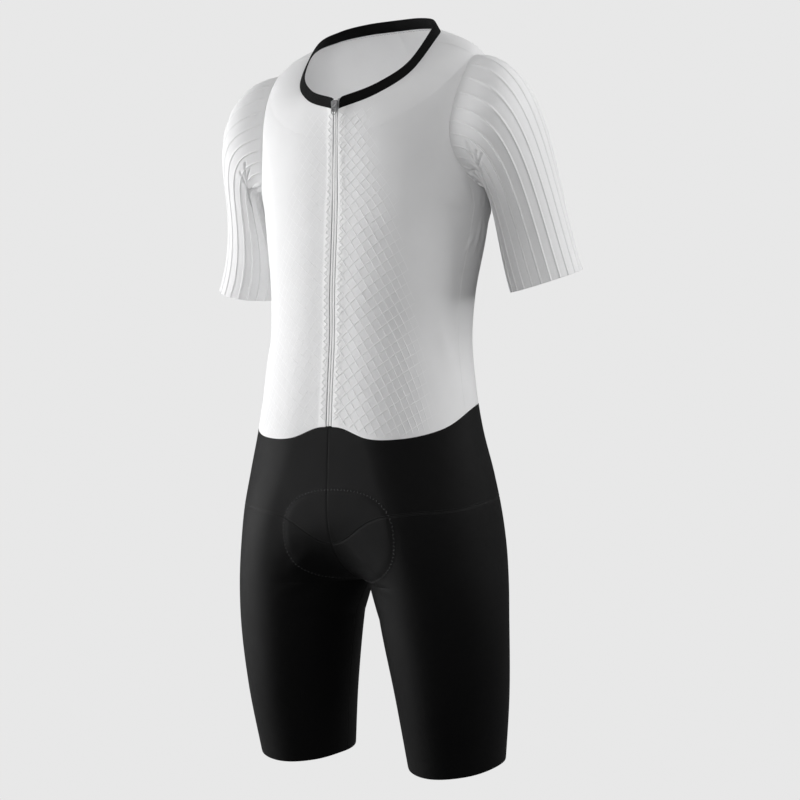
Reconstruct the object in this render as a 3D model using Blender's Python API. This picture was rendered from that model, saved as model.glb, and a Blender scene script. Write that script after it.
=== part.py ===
# Short-sleeved cycling skinsuit, filled out as worn, with open neck, cuffs and leg hems.
# Metres, +Z up. The front faces -Y and the wearer's left is +X. The origin lies between
# the shoulders, at the height of the side of the neck.

import math

import bmesh
import bpy
import numpy as np
from mathutils import Vector

# Heights of the main lines
CHEST_Z = -0.225
WAIST_FRONT_Z = -0.496
CROTCH_Z = -0.691
LOWEST_Z = -0.931

# Cloth
WALL = 0.0012
BAND_WALL = 0.0015
HALF_GAP = 0.00016
ARMHOLE_GAP = 0.0004

# Cross-sections of the body from the chest down to the hem. Each half of a section is a
# lobe: lobe_x is its centre, half_width its reach beyond that centre, front and back the
# places of its front and back lines. Below the crotch each lobe is one leg.
SECTION_COLUMNS = ("height", "lobe_x", "half_width", "front", "back")
SECTIONS = [
    (-0.225, 0.030, 0.124, -0.084, 0.114),
    (-0.262, 0.030, 0.118, -0.086, 0.112),
    (-0.330, 0.030, 0.107, -0.090, 0.102),
    (-0.387, 0.030, 0.106, -0.0905, 0.093),
    (-0.440, 0.035, 0.107, -0.0945, 0.091),
    (-0.500, 0.045, 0.106, -0.0985, 0.097),
    (-0.555, 0.060, 0.103, -0.1010, 0.107),
    (-0.600, 0.078, 0.093, -0.1010, 0.110),
    (-0.646, 0.092, 0.085, -0.0960, 0.108),
    (-0.691, 0.100, 0.082, -0.0885, 0.099),
    (-0.735, 0.104, 0.080, -0.0810, 0.092),
    (-0.829, 0.110, 0.070, -0.0630, 0.094),
    (-0.932, 0.110, 0.058, -0.0370, 0.096),
]

# The seam between the upper and the neck band, for one half, from centre front to centre
# back: its place, the way the cloth leaves it, and the reach of the curve at either end.
NECK_COLUMNS = ("share", "x", "y", "z", "run_x", "run_y", "run_z", "neck_reach", "chest_reach")
NECKLINE = [
    (0.00, 0.000, -0.0830, -0.107, 0.00, -0.05, -1.00, 0.035, 0.040),
    (0.20, 0.052, -0.0665, -0.088, 0.50, -0.35, -0.79, 0.045, 0.060),
    (0.36, 0.082, -0.0370, -0.059, 0.85, -0.30, -0.42, 0.060, 0.110),
    (0.50, 0.091, 0.0050, -0.016, 1.00, 0.00, -0.15, 0.073, 0.170),
    (0.68, 0.077, 0.0440, 0.007, 0.85, 0.45, -0.25, 0.080, 0.130),
    (0.84, 0.043, 0.0630, 0.016, 0.45, 0.78, -0.45, 0.070, 0.110),
    (1.00, 0.000, 0.0690, 0.018, 0.00, 0.88, -0.48, 0.065, 0.100),
]
BAND_WIDTH = 0.014
BAND_RISE = 0.60
BAND_END = 0.0052

# The armhole is an oval on the upper, in share of the half girth and share of the drop
# from neckline to chest line. The side panel meets its lower part.
ARMHOLE_SHARE = 0.49
ARMHOLE_HALF_SHARE = 0.135
ARMHOLE_TOP = 0.33
ARMHOLE_BOTTOM = 0.95
ARMHOLE_SKEW = 0.80
FRONT_SEAM_TURN = 122.0
BACK_SEAM_TURN = 222.0

# Seams of the side panel at the chest and at the waist, in share of the half girth
FRONT_SIDE_SHARES = (0.450, 0.46)
BACK_SIDE_SHARES = (0.585, 0.57)

# Heights of the waist seam, the hip seam and the leg's hem at shares of the half girth
SEAM_COLUMNS = ("share", "waist", "hip", "hem")
SEAMS = [
    (0.00, -0.496, -0.640, -0.918),
    (0.035, -0.497, -0.636, -0.919),
    (0.13, -0.510, -0.610, -0.924),
    (0.24, -0.510, -0.600, -0.927),
    (0.36, -0.499, -0.596, -0.923),
    (0.50, -0.474, -0.587, -0.915),
    (0.75, -0.466, -0.583, -0.912),
    (1.00, -0.466, -0.583, -0.918),
]

# Crotch: where the centre line starts to turn under, and how round it turns
TURN_UNDER_Z = -0.600
TURN_POWER = 2.5
SADDLE_RADIUS = 0.020
ARCH_DROP = 0.045
LEG_SETTLE_DROP = 0.150

# Sleeves
SLEEVE_HEM = (0.219, 0.060, -0.3165)
HEM_FACING = (0.230, 0.205, -0.951)
CUFF_LEAD = (0.332, -0.047, -0.951)
HEM_HALF_WIDTH = 0.045
HEM_HALF_DEPTH = 0.052
CAP_REACH_TOP = 0.122
CAP_REACH_UNDER = 0.028
CUFF_REACH = 0.150
CUFF_REACH_UNDER = 0.45
CAP_SPREAD = 0.05
CAP_LEAN = 0.47
CAP_DROOP = 0.245
RIB_COUNT = 24
RIB_HEIGHT = 0.0009
RIB_PROFILE = ((0.0, 0.0), (0.60, 0.0), (0.80, 1.0))
SLEEVE_ROWS = 9

# Zip
ZIP_EDGE = 0.0042
TAPE_INNER = 0.0010
TAPE_OUTER = 0.0135
TAPE_WALL = 0.0010
CHAIN_HALF_WIDTH = 0.0025
CHAIN_WALL = 0.0014

SLIDER_TOP_Z = -0.0950
SLIDER_HEIGHT = 0.0145
SLIDER_TOP_WIDTH = 0.0090
SLIDER_FOOT_WIDTH = 0.0066
SLIDER_THICK = 0.0020
SLIDER_FRONT_Y = -0.0854
BAIL_RADIUS = 0.0020
BAIL_WIRE = 0.0011
BAIL_WIDTH = 0.0022
PULL_PIVOT = (0.0, -0.0864, -0.1030)
PULL_WIRE = 0.0006
PULL_TOP_HALF = 0.0025
PULL_FOOT_RADIUS = 0.0036
PULL_LENGTH = 0.0100

# Rows and columns of the panels
FRONT_COLUMNS = 12
SIDE_COLUMNS = 5
BACK_COLUMNS = 11
UPPER_ROWS = 5
ARMHOLE_ROWS = 8
CHEST_ROWS = 3
TORSO_ROWS = 10
YOKE_ROWS = 6
HIP_ROWS = 4
LEG_ROWS = 8
ZIP_ROWS = 12
BAND_ROWS = 4
SHARP_ANGLE = 40.0

# Rows through the crotch: the depth left at the centre line above it, and drops below it
CROTCH_DEPTHS = (0.80, 0.60, 0.35, 0.0)
ARCH_DROPS = (0.004, 0.014, 0.029)

# Steps of the surface that the panels are cut from
SECTION_STEP = 0.001
NORMAL_STEP = 0.004
GIRTH_POINTS = 161
LOBE_POINTS = 120
SADDLE_POINTS = 40
UPPER_STEPS = 60


def table_column(rows, columns, name):
    """One named column of a table, as an array."""
    return np.array([row[columns.index(name)] for row in rows])


def smooth(x, xs, ys):
    """Cubic curve through the points of a table, with slopes from their neighbours."""
    x = np.asarray(x, float)
    if xs[0] > xs[-1]:
        xs, ys = xs[::-1], ys[::-1]
    slopes = np.gradient(ys, xs)
    i = np.clip(np.searchsorted(xs, x) - 1, 0, len(xs) - 2)
    step = xs[i + 1] - xs[i]
    t = np.clip((x - xs[i]) / step, 0, 1)
    return ((2 * t**3 - 3 * t**2 + 1) * ys[i] + (t**3 - 2 * t**2 + t) * step * slopes[i]
            + (3 * t**2 - 2 * t**3) * ys[i + 1] + (t**3 - t**2) * step * slopes[i + 1])


def section_value(z, name):
    """A size of the body's cross-section at a height."""
    return smooth(z, table_column(SECTIONS, SECTION_COLUMNS, "height"),
                  table_column(SECTIONS, SECTION_COLUMNS, name))


def neck_value(share, name):
    """A column of the neckline table at a share of the half girth."""
    return smooth(share, table_column(NECKLINE, NECK_COLUMNS, "share"),
                  table_column(NECKLINE, NECK_COLUMNS, name))


def seam_height(share, name):
    """Height of the waist seam, hip seam or hem at a share of the half girth."""
    return smooth(share, table_column(SEAMS, SEAM_COLUMNS, "share"),
                  table_column(SEAMS, SEAM_COLUMNS, name))


def half_section(z):
    """Half of the body's section at a height, from centre front round the outside to
    centre back. Below the crotch it is one leg, with a quarter of its girth on each side
    of the inseam."""
    lobe = float(section_value(z, "lobe_x"))
    half_width = float(section_value(z, "half_width"))
    front = float(section_value(z, "front"))
    back = float(section_value(z, "back"))
    middle = (front + back) / 2
    depth = (back - front) / 2
    turned = min(max((TURN_UNDER_Z - z) / (TURN_UNDER_Z - CROTCH_Z), 0.0), 1.0)
    centre_depth = math.sqrt(max(1.0 - turned**TURN_POWER, 0.0))
    waist_in = math.sqrt(1.0 - centre_depth**2)
    opened = min(max((CROTCH_Z - z) / ARCH_DROP, 0.0), 1.0)
    inner_x = (lobe - half_width) * math.sqrt(opened)

    start = math.hypot(inner_x, SADDLE_RADIUS)
    span = math.hypot(lobe, SADDLE_RADIUS) - start
    r = np.cos(np.linspace(0, math.pi / 2, SADDLE_POINTS))
    inner_xs = np.sqrt(np.maximum((start + span * (1 - r))**2 - SADDLE_RADIUS**2, 0))
    inner_depth = depth * np.sqrt(np.maximum(1 - (waist_in * r)**2, 0))
    turn = np.linspace(0, math.pi, LOBE_POINTS)[1:-1]
    xs = np.concatenate([inner_xs, lobe + half_width * np.sin(turn), inner_xs[::-1]])
    ys = np.concatenate([middle - inner_depth, middle - depth * np.cos(turn),
                         (middle + inner_depth)[::-1]])
    run = np.concatenate([[0], np.cumsum(np.hypot(np.diff(xs), np.diff(ys)))])
    inner = run[len(inner_xs) - 1]
    outer = run[-1] - 2 * inner
    flat = lobe / (2 * lobe + outer)
    settled = min(max((TURN_UNDER_Z - z) / LEG_SETTLE_DROP, 0.0), 1.0)
    inner_share = flat + (0.25 - flat) * settled**2 * (3 - 2 * settled)
    place = np.interp(run, [0, inner, inner + outer, run[-1]], [0, inner_share, 1 - inner_share, 1])
    share = np.linspace(0, 1, GIRTH_POINTS)
    return np.column_stack([np.interp(share, place, xs), np.interp(share, place, ys),
                            np.full(GIRTH_POINTS, z)])


def body_skin():
    """Outer surface of one half of the garment without its sleeve, as rows of points.
    A level of -1 is the neck band's free edge, 0 the neckline and 1 the chest line.
    Below that a level is 1 plus the drop from the chest line."""
    share = np.linspace(0, 1, GIRTH_POINTS)
    heights = np.arange(CHEST_Z, LOWEST_Z - SECTION_STEP, -SECTION_STEP)
    lower = np.array([half_section(z) for z in heights])
    chest = lower[0]
    rise = chest - lower[4]
    rise /= np.linalg.norm(rise, axis=1)[:, None]
    neck = np.column_stack([neck_value(share, k) for k in ("x", "y", "z")])
    leave = np.column_stack([neck_value(share, k) for k in ("run_x", "run_y", "run_z")])
    leave /= np.linalg.norm(leave, axis=1)[:, None]
    neck_handle = neck + leave * neck_value(share, "neck_reach")[:, None]
    chest_handle = chest + rise * neck_value(share, "chest_reach")[:, None]
    drops = np.linspace(0, 1, UPPER_STEPS + 1)[:-1]
    upper = np.array([(1 - w)**3 * neck + 3 * (1 - w)**2 * w * neck_handle
                      + 3 * (1 - w) * w**2 * chest_handle + w**3 * chest for w in drops])
    band = -leave * (1 - BAND_RISE) + np.array([0, 0, BAND_RISE])
    band /= np.linalg.norm(band, axis=1)[:, None]
    top = (neck + band * BAND_WIDTH)[None]
    levels = np.concatenate([[-1.0], drops, 1 + CHEST_Z - heights])
    return levels, np.concatenate([top, upper, lower])


LEVELS, SKIN = body_skin()


def skin(share, level, side=1):
    """Points of the outer surface at shares of the half girth and levels."""
    share, level = np.broadcast_arrays(np.asarray(share, float), np.asarray(level, float))
    row = np.interp(level, LEVELS, np.arange(len(LEVELS)))
    col = np.clip(share, 0, 1) * (GIRTH_POINTS - 1)
    i = np.minimum(row.astype(int), len(LEVELS) - 2)
    j = np.minimum(col.astype(int), GIRTH_POINTS - 2)
    p = (row - i)[..., None]
    q = (col - j)[..., None]
    point = ((1 - p) * ((1 - q) * SKIN[i, j] + q * SKIN[i, j + 1])
             + p * ((1 - q) * SKIN[i + 1, j] + q * SKIN[i + 1, j + 1]))
    return point * np.array([side, 1, 1])


def skin_beyond(share, level, side):
    """The outer surface, carried on past the centre line, or round the leg below the crotch."""
    share, level = np.broadcast_arrays(np.asarray(share, float), np.asarray(level, float))
    on_leg = level > level_of(CROTCH_Z)
    past = (share < 0) | (share > 1)
    folded = np.where(share < 0, -share, np.where(share > 1, 2 - share, share))
    wrapped = np.where(on_leg, share % 1.0, folded)
    point = skin(np.where(past, wrapped, share), level, side)
    point[..., 0] *= np.where(past & ~on_leg, -1, 1)
    return point


def skin_wall(share, level, side=1):
    """Points of the outer surface and its unit normals there, out of the garment."""
    across = (skin_beyond(share + NORMAL_STEP, level, side)
              - skin_beyond(share - NORMAL_STEP, level, side))
    down = skin_beyond(share, level + NORMAL_STEP, side) - skin_beyond(share, level - NORMAL_STEP, side)
    normal = np.cross(down, across) * side
    return skin(share, level, side), normal / np.linalg.norm(normal, axis=-1)[..., None]


def mirrored(share, level, end):
    """A piece that crosses the centre line: the wearer's left half and its mirror image,
    joined at the centre back, which is the given end of each row."""
    grid, normal = skin_wall(share, level)
    mirror = np.array([-1, 1, 1])
    if end == 0:
        grid, normal = grid[:, ::-1], normal[:, ::-1]
    return (np.concatenate([grid, (grid * mirror)[:, -2::-1]], axis=1),
            np.concatenate([normal, (normal * mirror)[:, -2::-1]], axis=1))


def level_of(z):
    """Level of a height below the chest line."""
    return 1 + CHEST_Z - z


def girth(level):
    """Length of the half girth at a level."""
    row = np.interp(level, LEVELS, np.arange(len(LEVELS)))
    line = SKIN[np.round(row).astype(int)]
    return np.linalg.norm(np.diff(line, axis=-2), axis=-1).sum(axis=-1)


def armhole_at(turn):
    """Share and level of the armhole at a turn in degrees: 0 at the shoulder, 90 in
    front, 180 under the arm and 270 behind."""
    angle = np.radians(turn)
    return (ARMHOLE_SHARE - ARMHOLE_HALF_SHARE * np.sin(angle),
            ARMHOLE_TOP + (ARMHOLE_BOTTOM - ARMHOLE_TOP) * ((1 - np.cos(angle)) / 2)**ARMHOLE_SKEW)


def side_seam_rows(front):
    """Shares and levels down the seam of the side panel, below the armhole."""
    shares = FRONT_SIDE_SHARES if front else BACK_SIDE_SHARES
    turn = FRONT_SEAM_TURN if front else BACK_SEAM_TURN
    start_share, start_level = armhole_at(turn)
    chest = np.linspace(0, 1, CHEST_ROWS + 1)[1:]
    torso = np.linspace(0, 1, TORSO_ROWS + 1)[1:]
    share = np.concatenate([start_share + (shares[0] - start_share) * chest,
                            shares[0] + (shares[1] - shares[0]) * torso])
    level = np.concatenate([start_level + (1 - start_level) * chest,
                            1 + (level_of(seam_height(shares[1], "waist")) - 1) * torso])
    return share, level


def torso_level(share, drop):
    """Level at a share of the drop from the chest line to the waist seam."""
    return 1 + (level_of(seam_height(share, "waist")) - 1) * drop


def upper_panel(front, start_gap, columns):
    """Shares and levels of a front, or of half a back, row by row."""
    armhole_turns = np.linspace(0, FRONT_SEAM_TURN, ARMHOLE_ROWS + 1)
    if not front:
        armhole_turns = np.linspace(360, BACK_SEAM_TURN, ARMHOLE_ROWS + 1)
    armhole_share, armhole_level = armhole_at(armhole_turns)
    top_level = np.linspace(0, armhole_level[0], UPPER_ROWS + 1)[:-1]
    seam_share, seam_level = side_seam_rows(front)
    end_share = np.concatenate([np.full(UPPER_ROWS, ARMHOLE_SHARE), armhole_share, seam_share])
    end_level = np.concatenate([top_level, armhole_level, seam_level])
    start_share = start_gap / girth(end_level)
    across = np.linspace(0, 1, columns)
    if front:
        share = start_share[:, None] + (end_share - start_share)[:, None] * across
    else:
        share = (1 - start_share)[:, None] + (end_share - 1 + start_share)[:, None] * across
    level = np.repeat(end_level[:, None], columns, axis=1)
    torso = np.linspace(0, 1, TORSO_ROWS + 1)[1:]
    level[-TORSO_ROWS:] = torso_level(share[-TORSO_ROWS:], torso[:, None])
    return share, level


def side_panel(columns):
    """Shares and levels of a side panel, row by row, from the armhole to the waist."""
    turns = np.linspace(FRONT_SEAM_TURN, BACK_SEAM_TURN, columns)
    top_share, top_level = armhole_at(turns)
    across = np.linspace(0, 1, columns)
    chest_share = FRONT_SIDE_SHARES[0] + (BACK_SIDE_SHARES[0] - FRONT_SIDE_SHARES[0]) * across
    waist_share = FRONT_SIDE_SHARES[1] + (BACK_SIDE_SHARES[1] - FRONT_SIDE_SHARES[1]) * across
    chest = np.linspace(0, 1, CHEST_ROWS + 1)[:, None]
    torso = np.linspace(0, 1, TORSO_ROWS + 1)[1:, None]
    share = np.concatenate([top_share + (chest_share - top_share) * chest,
                            chest_share + (waist_share - chest_share) * torso])
    level = np.concatenate([top_level + (1 - top_level) * chest, torso_level(share[-TORSO_ROWS:], torso)])
    return share, level


def shorts_shares():
    """Shares across the shorts, at the same places as the columns of the panels above."""
    waist = level_of(seam_height(FRONT_SIDE_SHARES[1], "waist"))
    front = np.linspace(ZIP_EDGE / float(girth(waist)), FRONT_SIDE_SHARES[1], FRONT_COLUMNS)
    front[0] = 0.0
    side = np.linspace(FRONT_SIDE_SHARES[1], BACK_SIDE_SHARES[1], SIDE_COLUMNS)
    back = np.linspace(BACK_SIDE_SHARES[1], 1, BACK_COLUMNS)
    return np.concatenate([front, side[1:], back[1:]])


def yoke_panel(share, rows):
    """Shares and levels between the waist seam and the hip seam."""
    drop = np.linspace(0, 1, rows)[:, None]
    waist = level_of(seam_height(share, "waist"))
    hip = level_of(seam_height(share, "hip"))
    return np.repeat(share[None], rows, axis=0), waist + (hip - waist) * drop


def leg_panel(share):
    """Shares and levels of a leg, from the hip seam past the crotch to the hem."""
    hip = level_of(seam_height(share, "hip"))
    turned = (1 - np.array(CROTCH_DEPTHS)**2)**(1 / TURN_POWER)
    crotch_rows = TURN_UNDER_Z + turned * (CROTCH_Z - TURN_UNDER_Z)
    first = level_of(crotch_rows[0])
    blend = np.linspace(0, 1, HIP_ROWS)[:, None]
    above = hip + (first - hip) * blend
    below = CROTCH_Z - np.array(ARCH_DROPS)
    rows = level_of(np.concatenate([crotch_rows[1:], below]))
    hem = level_of(seam_height(share, "hem"))
    leg_drop = np.linspace(0, 1, LEG_ROWS + 1)[1:, None]
    leg = rows[-1] + (hem - rows[-1]) * leg_drop
    level = np.concatenate([above, np.repeat(rows[:, None], len(share), axis=1), leg])
    return np.repeat(share[None], len(level), axis=0), level


def tube_normals(grid):
    """Unit normals of a closed tube of points, out of the tube."""
    wrapped = np.concatenate([grid[:, -1:], grid, grid[:, :1]], axis=1)
    normal = np.cross(np.gradient(wrapped, axis=1)[:, 1:-1], np.gradient(grid, axis=0))
    outward = grid - grid.mean(axis=1)[:, None]
    normal *= np.sign((normal * outward).sum())
    return normal / np.linalg.norm(normal, axis=2)[:, :, None]


def pull_in(grid):
    """The grid with its edges drawn back by half the seam gap."""
    grid = grid.copy()
    for turned, edge, inner in ((False, 0, 1), (False, -1, -2), (True, 0, 1), (True, -1, -2)):
        view = grid.transpose(1, 0, 2) if turned else grid
        step = view[inner] - view[edge]
        tangent = np.gradient(view[edge], axis=0)
        tangent /= np.linalg.norm(tangent, axis=1)[:, None]
        square = step - (step * tangent).sum(axis=1)[:, None] * tangent
        view[edge] += step * (HALF_GAP / np.linalg.norm(square, axis=1))[:, None]
    return grid


def wall_faces(rows, columns, closed):
    """Faces of a wall whose outer points come first and whose inner points follow."""
    count = rows * columns
    last = columns if closed else columns - 1
    faces = []
    for r in range(rows - 1):
        for c in range(last):
            a, b = r * columns + c, r * columns + (c + 1) % columns
            quad = (a, b, b + columns, a + columns)
            faces.append(quad)
            faces.append(tuple(count + k for k in reversed(quad)))
    for r, turn in ((0, 1), (rows - 1, -1)):
        for c in range(last):
            a, b = r * columns + c, r * columns + (c + 1) % columns
            faces.append((b, a, a + count, b + count)[::turn])
    if not closed:
        for c, turn in ((0, -1), (columns - 1, 1)):
            for r in range(rows - 1):
                a, b = r * columns + c, (r + 1) * columns + c
                faces.append((b, a, a + count, b + count)[::turn])
    return faces


def material(name, color, roughness, metallic=0.0):
    """A plain material with a colour, roughness and metallic value."""
    made = bpy.data.materials.new(name)
    made.use_nodes = True
    shader = made.node_tree.nodes["Principled BSDF"]
    shader.inputs["Base Color"].default_value = (*color, 1.0)
    shader.inputs["Roughness"].default_value = roughness
    shader.inputs["Metallic"].default_value = metallic
    return made


def add_object(name, points, faces, finish):
    """A named closed object from points and faces."""
    mesh = bpy.data.meshes.new(name)
    mesh.from_pydata([tuple(p) for p in points], [], faces)
    form = bmesh.new()
    form.from_mesh(mesh)
    bmesh.ops.recalc_face_normals(form, faces=form.faces)
    form.to_mesh(mesh)
    form.free()
    mesh.shade_smooth()
    mesh.set_sharp_from_angle(angle=math.radians(SHARP_ANGLE))
    made = bpy.data.objects.new(name, mesh)
    made.data.materials.append(finish)
    bpy.context.scene.collection.objects.link(made)
    return made


def cloth_wall(name, grid, normal, wall, finish, sunk=0.0):
    """A cloth piece: a grid of outer points, given a wall on its inner side."""
    outer = grid - normal * sunk
    points = np.concatenate([outer.reshape(-1, 3), (outer - normal * wall).reshape(-1, 3)])
    return add_object(name, points, wall_faces(*grid.shape[:2], closed=False), finish)


def sleeve_grid(side):
    """Outer points of a sleeve, armhole to hem, and the relief of its ribs."""
    turns = np.concatenate([[(rib + place) * 360 / RIB_COUNT for place, _ in RIB_PROFILE]
                            for rib in range(RIB_COUNT)])
    lift = np.tile([height for _, height in RIB_PROFILE], RIB_COUNT) * RIB_HEIGHT
    share, level = armhole_at(turns)
    start = skin(share, level)
    middle = start.mean(axis=0)
    spread = (start[:, 1] - middle[1]) / np.abs(start[:, 1] - middle[1]).max()
    angle = np.radians(turns)[:, None]
    top = (1 + np.cos(angle)) / 2
    leave = np.column_stack([np.ones(len(turns)), spread * CAP_SPREAD - top[:, 0] * CAP_LEAN,
                             -top[:, 0] * CAP_DROOP])
    leave /= np.linalg.norm(leave, axis=1)[:, None]

    run = np.array(HEM_FACING) / np.linalg.norm(HEM_FACING)
    forward = np.array([0, -1.0, 0])
    forward -= run * forward.dot(run)
    forward /= np.linalg.norm(forward)
    outward = np.cross(run, forward)
    outward *= np.sign(outward[0])
    hem = (np.array(SLEEVE_HEM) + outward * np.cos(angle) * HEM_HALF_WIDTH
           + forward * np.sin(angle) * HEM_HALF_DEPTH)
    cap_reach = CAP_REACH_UNDER + (CAP_REACH_TOP - CAP_REACH_UNDER) * top
    start = start + leave * ARMHOLE_GAP
    first = start + leave * cap_reach
    lead = np.array(CUFF_LEAD) / np.linalg.norm(CUFF_LEAD)
    second = hem - lead * CUFF_REACH * (CUFF_REACH_UNDER + (1 - CUFF_REACH_UNDER) * top)
    w = np.linspace(0, 1, SLEEVE_ROWS)[:, None, None]
    grid = ((1 - w)**3 * start + 3 * (1 - w)**2 * w * first
            + 3 * (1 - w) * w**2 * second + w**3 * hem)
    fade = np.minimum(np.linspace(0, 1, SLEEVE_ROWS) * 6, 1.0)[:, None]
    return grid * np.array([side, 1, 1]), lift[None] * fade


def add_upper(finish):
    """The fronts, the sides and the back."""
    for side, word in ((1, "left"), (-1, "right")):
        share, level = upper_panel(True, ZIP_EDGE, FRONT_COLUMNS)
        grid, normal = skin_wall(share, level, side)
        cloth_wall("front_" + word, pull_in(grid), normal, WALL, finish)
        share, level = side_panel(SIDE_COLUMNS)
        grid, normal = skin_wall(share, level, side)
        cloth_wall("side_" + word, pull_in(grid), normal, WALL, finish)
    share, level = upper_panel(False, 0.0, BACK_COLUMNS)
    grid, normal = mirrored(share, level, 0)
    cloth_wall("back", pull_in(grid), normal, WALL, finish)


def add_sleeves(finish):
    """The two ribbed sleeves."""
    for side, word in ((1, "left"), (-1, "right")):
        grid, relief = sleeve_grid(side)
        normal = tube_normals(grid)
        outer = grid + normal * relief[:, :, None]
        points = np.concatenate([outer.reshape(-1, 3), (grid - normal * WALL).reshape(-1, 3)])
        add_object("sleeve_" + word, points, wall_faces(*grid.shape[:2], closed=True), finish)


def add_neck_band(finish):
    """The strip round the neck, from one side of the zip to the other."""
    share = np.concatenate([np.linspace(0, ARMHOLE_SHARE, FRONT_COLUMNS),
                            np.linspace(ARMHOLE_SHARE, 1, BACK_COLUMNS)[1:]])
    share[0] = BAND_END / float(girth(0.0))
    level = np.linspace(-1, 0, BAND_ROWS)[:, None]
    grid, normal = mirrored(share[None] + 0 * level, level, -1)
    cloth_wall("neck_band", pull_in(grid), normal, BAND_WALL, finish)


def add_shorts(finish):
    """The yokes and the legs."""
    shares = shorts_shares()
    side_seam = FRONT_COLUMNS + SIDE_COLUMNS - 2
    for side, word in ((1, "left"), (-1, "right")):
        share, level = yoke_panel(shares[:side_seam + 1], YOKE_ROWS)
        grid, normal = skin_wall(share, level, side)
        cloth_wall("yoke_front_" + word, pull_in(grid), normal, WALL, finish)
        share, level = leg_panel(shares)
        grid, normal = skin_wall(share, level, side)
        cloth_wall("leg_" + word, pull_in(grid), normal, WALL, finish)
    share, level = yoke_panel(shares[side_seam:], YOKE_ROWS)
    grid, normal = mirrored(share, level, -1)
    cloth_wall("yoke_back", pull_in(grid), normal, WALL, finish)


def zip_levels(count):
    """Levels down the zip, from the neck band's free edge to the waist seam."""
    bottom = level_of(WAIST_FRONT_Z) - 0.0006
    return np.concatenate([[-0.95, -0.5, 0.0, 0.5], np.linspace(1, bottom, count)])


def add_zip(tape_finish, coil_finish):
    """The tapes and the closed chain of the zip."""
    level = zip_levels(ZIP_ROWS)
    length = girth(level)
    for side, word in ((1, "left"), (-1, "right")):
        across = np.linspace(TAPE_INNER, TAPE_OUTER, 3)
        share = across[None] / length[:, None]
        grid, normal = skin_wall(share, level[:, None] + 0 * share, side)
        cloth_wall("zip_tape_" + word, grid, normal, TAPE_WALL, tape_finish,
                   sunk=BAND_WALL + 2 * HALF_GAP)
    share = np.array([CHAIN_HALF_WIDTH, 0.0])[None] / length[:, None]
    grid, normal = mirrored(share, level[:, None] + 0 * share, -1)
    cloth_wall("zip_chain", grid, normal, CHAIN_WALL, coil_finish, sunk=BAND_WALL - CHAIN_WALL)


def add_slider(finish):
    """The slider: a tapered plate with a bail across its middle for the pull."""
    top, foot = SLIDER_TOP_WIDTH / 2, SLIDER_FOOT_WIDTH / 2
    low = SLIDER_TOP_Z - SLIDER_HEIGHT
    shoulder = SLIDER_TOP_Z - SLIDER_HEIGHT * 0.45
    outline = [(-top * 0.6, SLIDER_TOP_Z), (top * 0.6, SLIDER_TOP_Z), (top, SLIDER_TOP_Z - 0.0018),
               (top, shoulder), (foot, low + 0.0012), (foot * 0.7, low), (-foot * 0.7, low),
               (-foot, low + 0.0012), (-top, shoulder), (-top, SLIDER_TOP_Z - 0.0018)]
    count = len(outline)
    points = [(x, SLIDER_FRONT_Y, z) for x, z in outline]
    points += [(x, SLIDER_FRONT_Y + SLIDER_THICK, z) for x, z in outline]
    faces = [tuple(range(count)), tuple(range(2 * count - 1, count - 1, -1))]
    faces += [(k, k + count, (k + 1) % count + count, (k + 1) % count) for k in range(count)]
    plate = add_object("zip_slider", points, faces, finish)

    turns = np.linspace(0, math.pi, 9)
    pivot = PULL_PIVOT[2]
    points = []
    for turn in turns:
        for radius in (BAIL_RADIUS, BAIL_RADIUS + BAIL_WIRE):
            y = SLIDER_FRONT_Y + 0.0004 - (radius + 0.0004) * math.sin(turn)
            z = pivot + radius * math.cos(turn)
            points += [(-BAIL_WIDTH / 2, y, z), (BAIL_WIDTH / 2, y, z)]
    faces = [(0, 2, 3, 1), tuple(4 * len(turns) - k for k in (4, 3, 1, 2))]
    for k in range(0, 4 * (len(turns) - 1), 4):
        faces += [(k, k + 1, k + 5, k + 4), (k + 3, k + 2, k + 6, k + 7),
                  (k + 2, k, k + 4, k + 6), (k + 1, k + 3, k + 7, k + 5)]
    bail = add_object("bail_shape", points, faces, finish)
    bail.hide_render = True
    bail.display_type = "WIRE"
    join = plate.modifiers.new("Bail", "BOOLEAN")
    join.operation = "UNION"
    join.object = bail


def add_pull(finish):
    """The pull: a wire loop through the bail, hanging down, with its origin on the hinge."""
    shoulder = PULL_TOP_HALF * 1.02
    foot_z = -(PULL_LENGTH - PULL_FOOT_RADIUS)
    path = [(-PULL_TOP_HALF * 0.5, 0.0), (PULL_TOP_HALF * 0.5, 0.0), (shoulder, -0.0006)]
    for turn in np.linspace(0, math.pi, 11):
        path.append((PULL_FOOT_RADIUS * math.cos(turn), foot_z - PULL_FOOT_RADIUS * math.sin(turn)))
    path.append((-shoulder, -0.0006))
    line = [Vector((x, 0, z)) for x, z in path]
    count, sides = len(line), 6
    points, faces = [], []
    for k, here in enumerate(line):
        along = (line[(k + 1) % count] - line[k - 1]).normalized()
        across = Vector((0, 1, 0)).cross(along)
        for side in range(sides):
            angle = 2 * math.pi * side / sides
            ring = across * math.cos(angle) + Vector((0, 1, 0)) * math.sin(angle)
            points.append(here + ring * PULL_WIRE)
        for side in range(sides):
            a, b = k * sides + side, k * sides + (side + 1) % sides
            after = (k + 1) % count * sides
            faces.append((a, b, after + (side + 1) % sides, after + side))
    pull = add_object("zip_pull", points, faces, finish)
    pull.location = PULL_PIVOT


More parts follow.
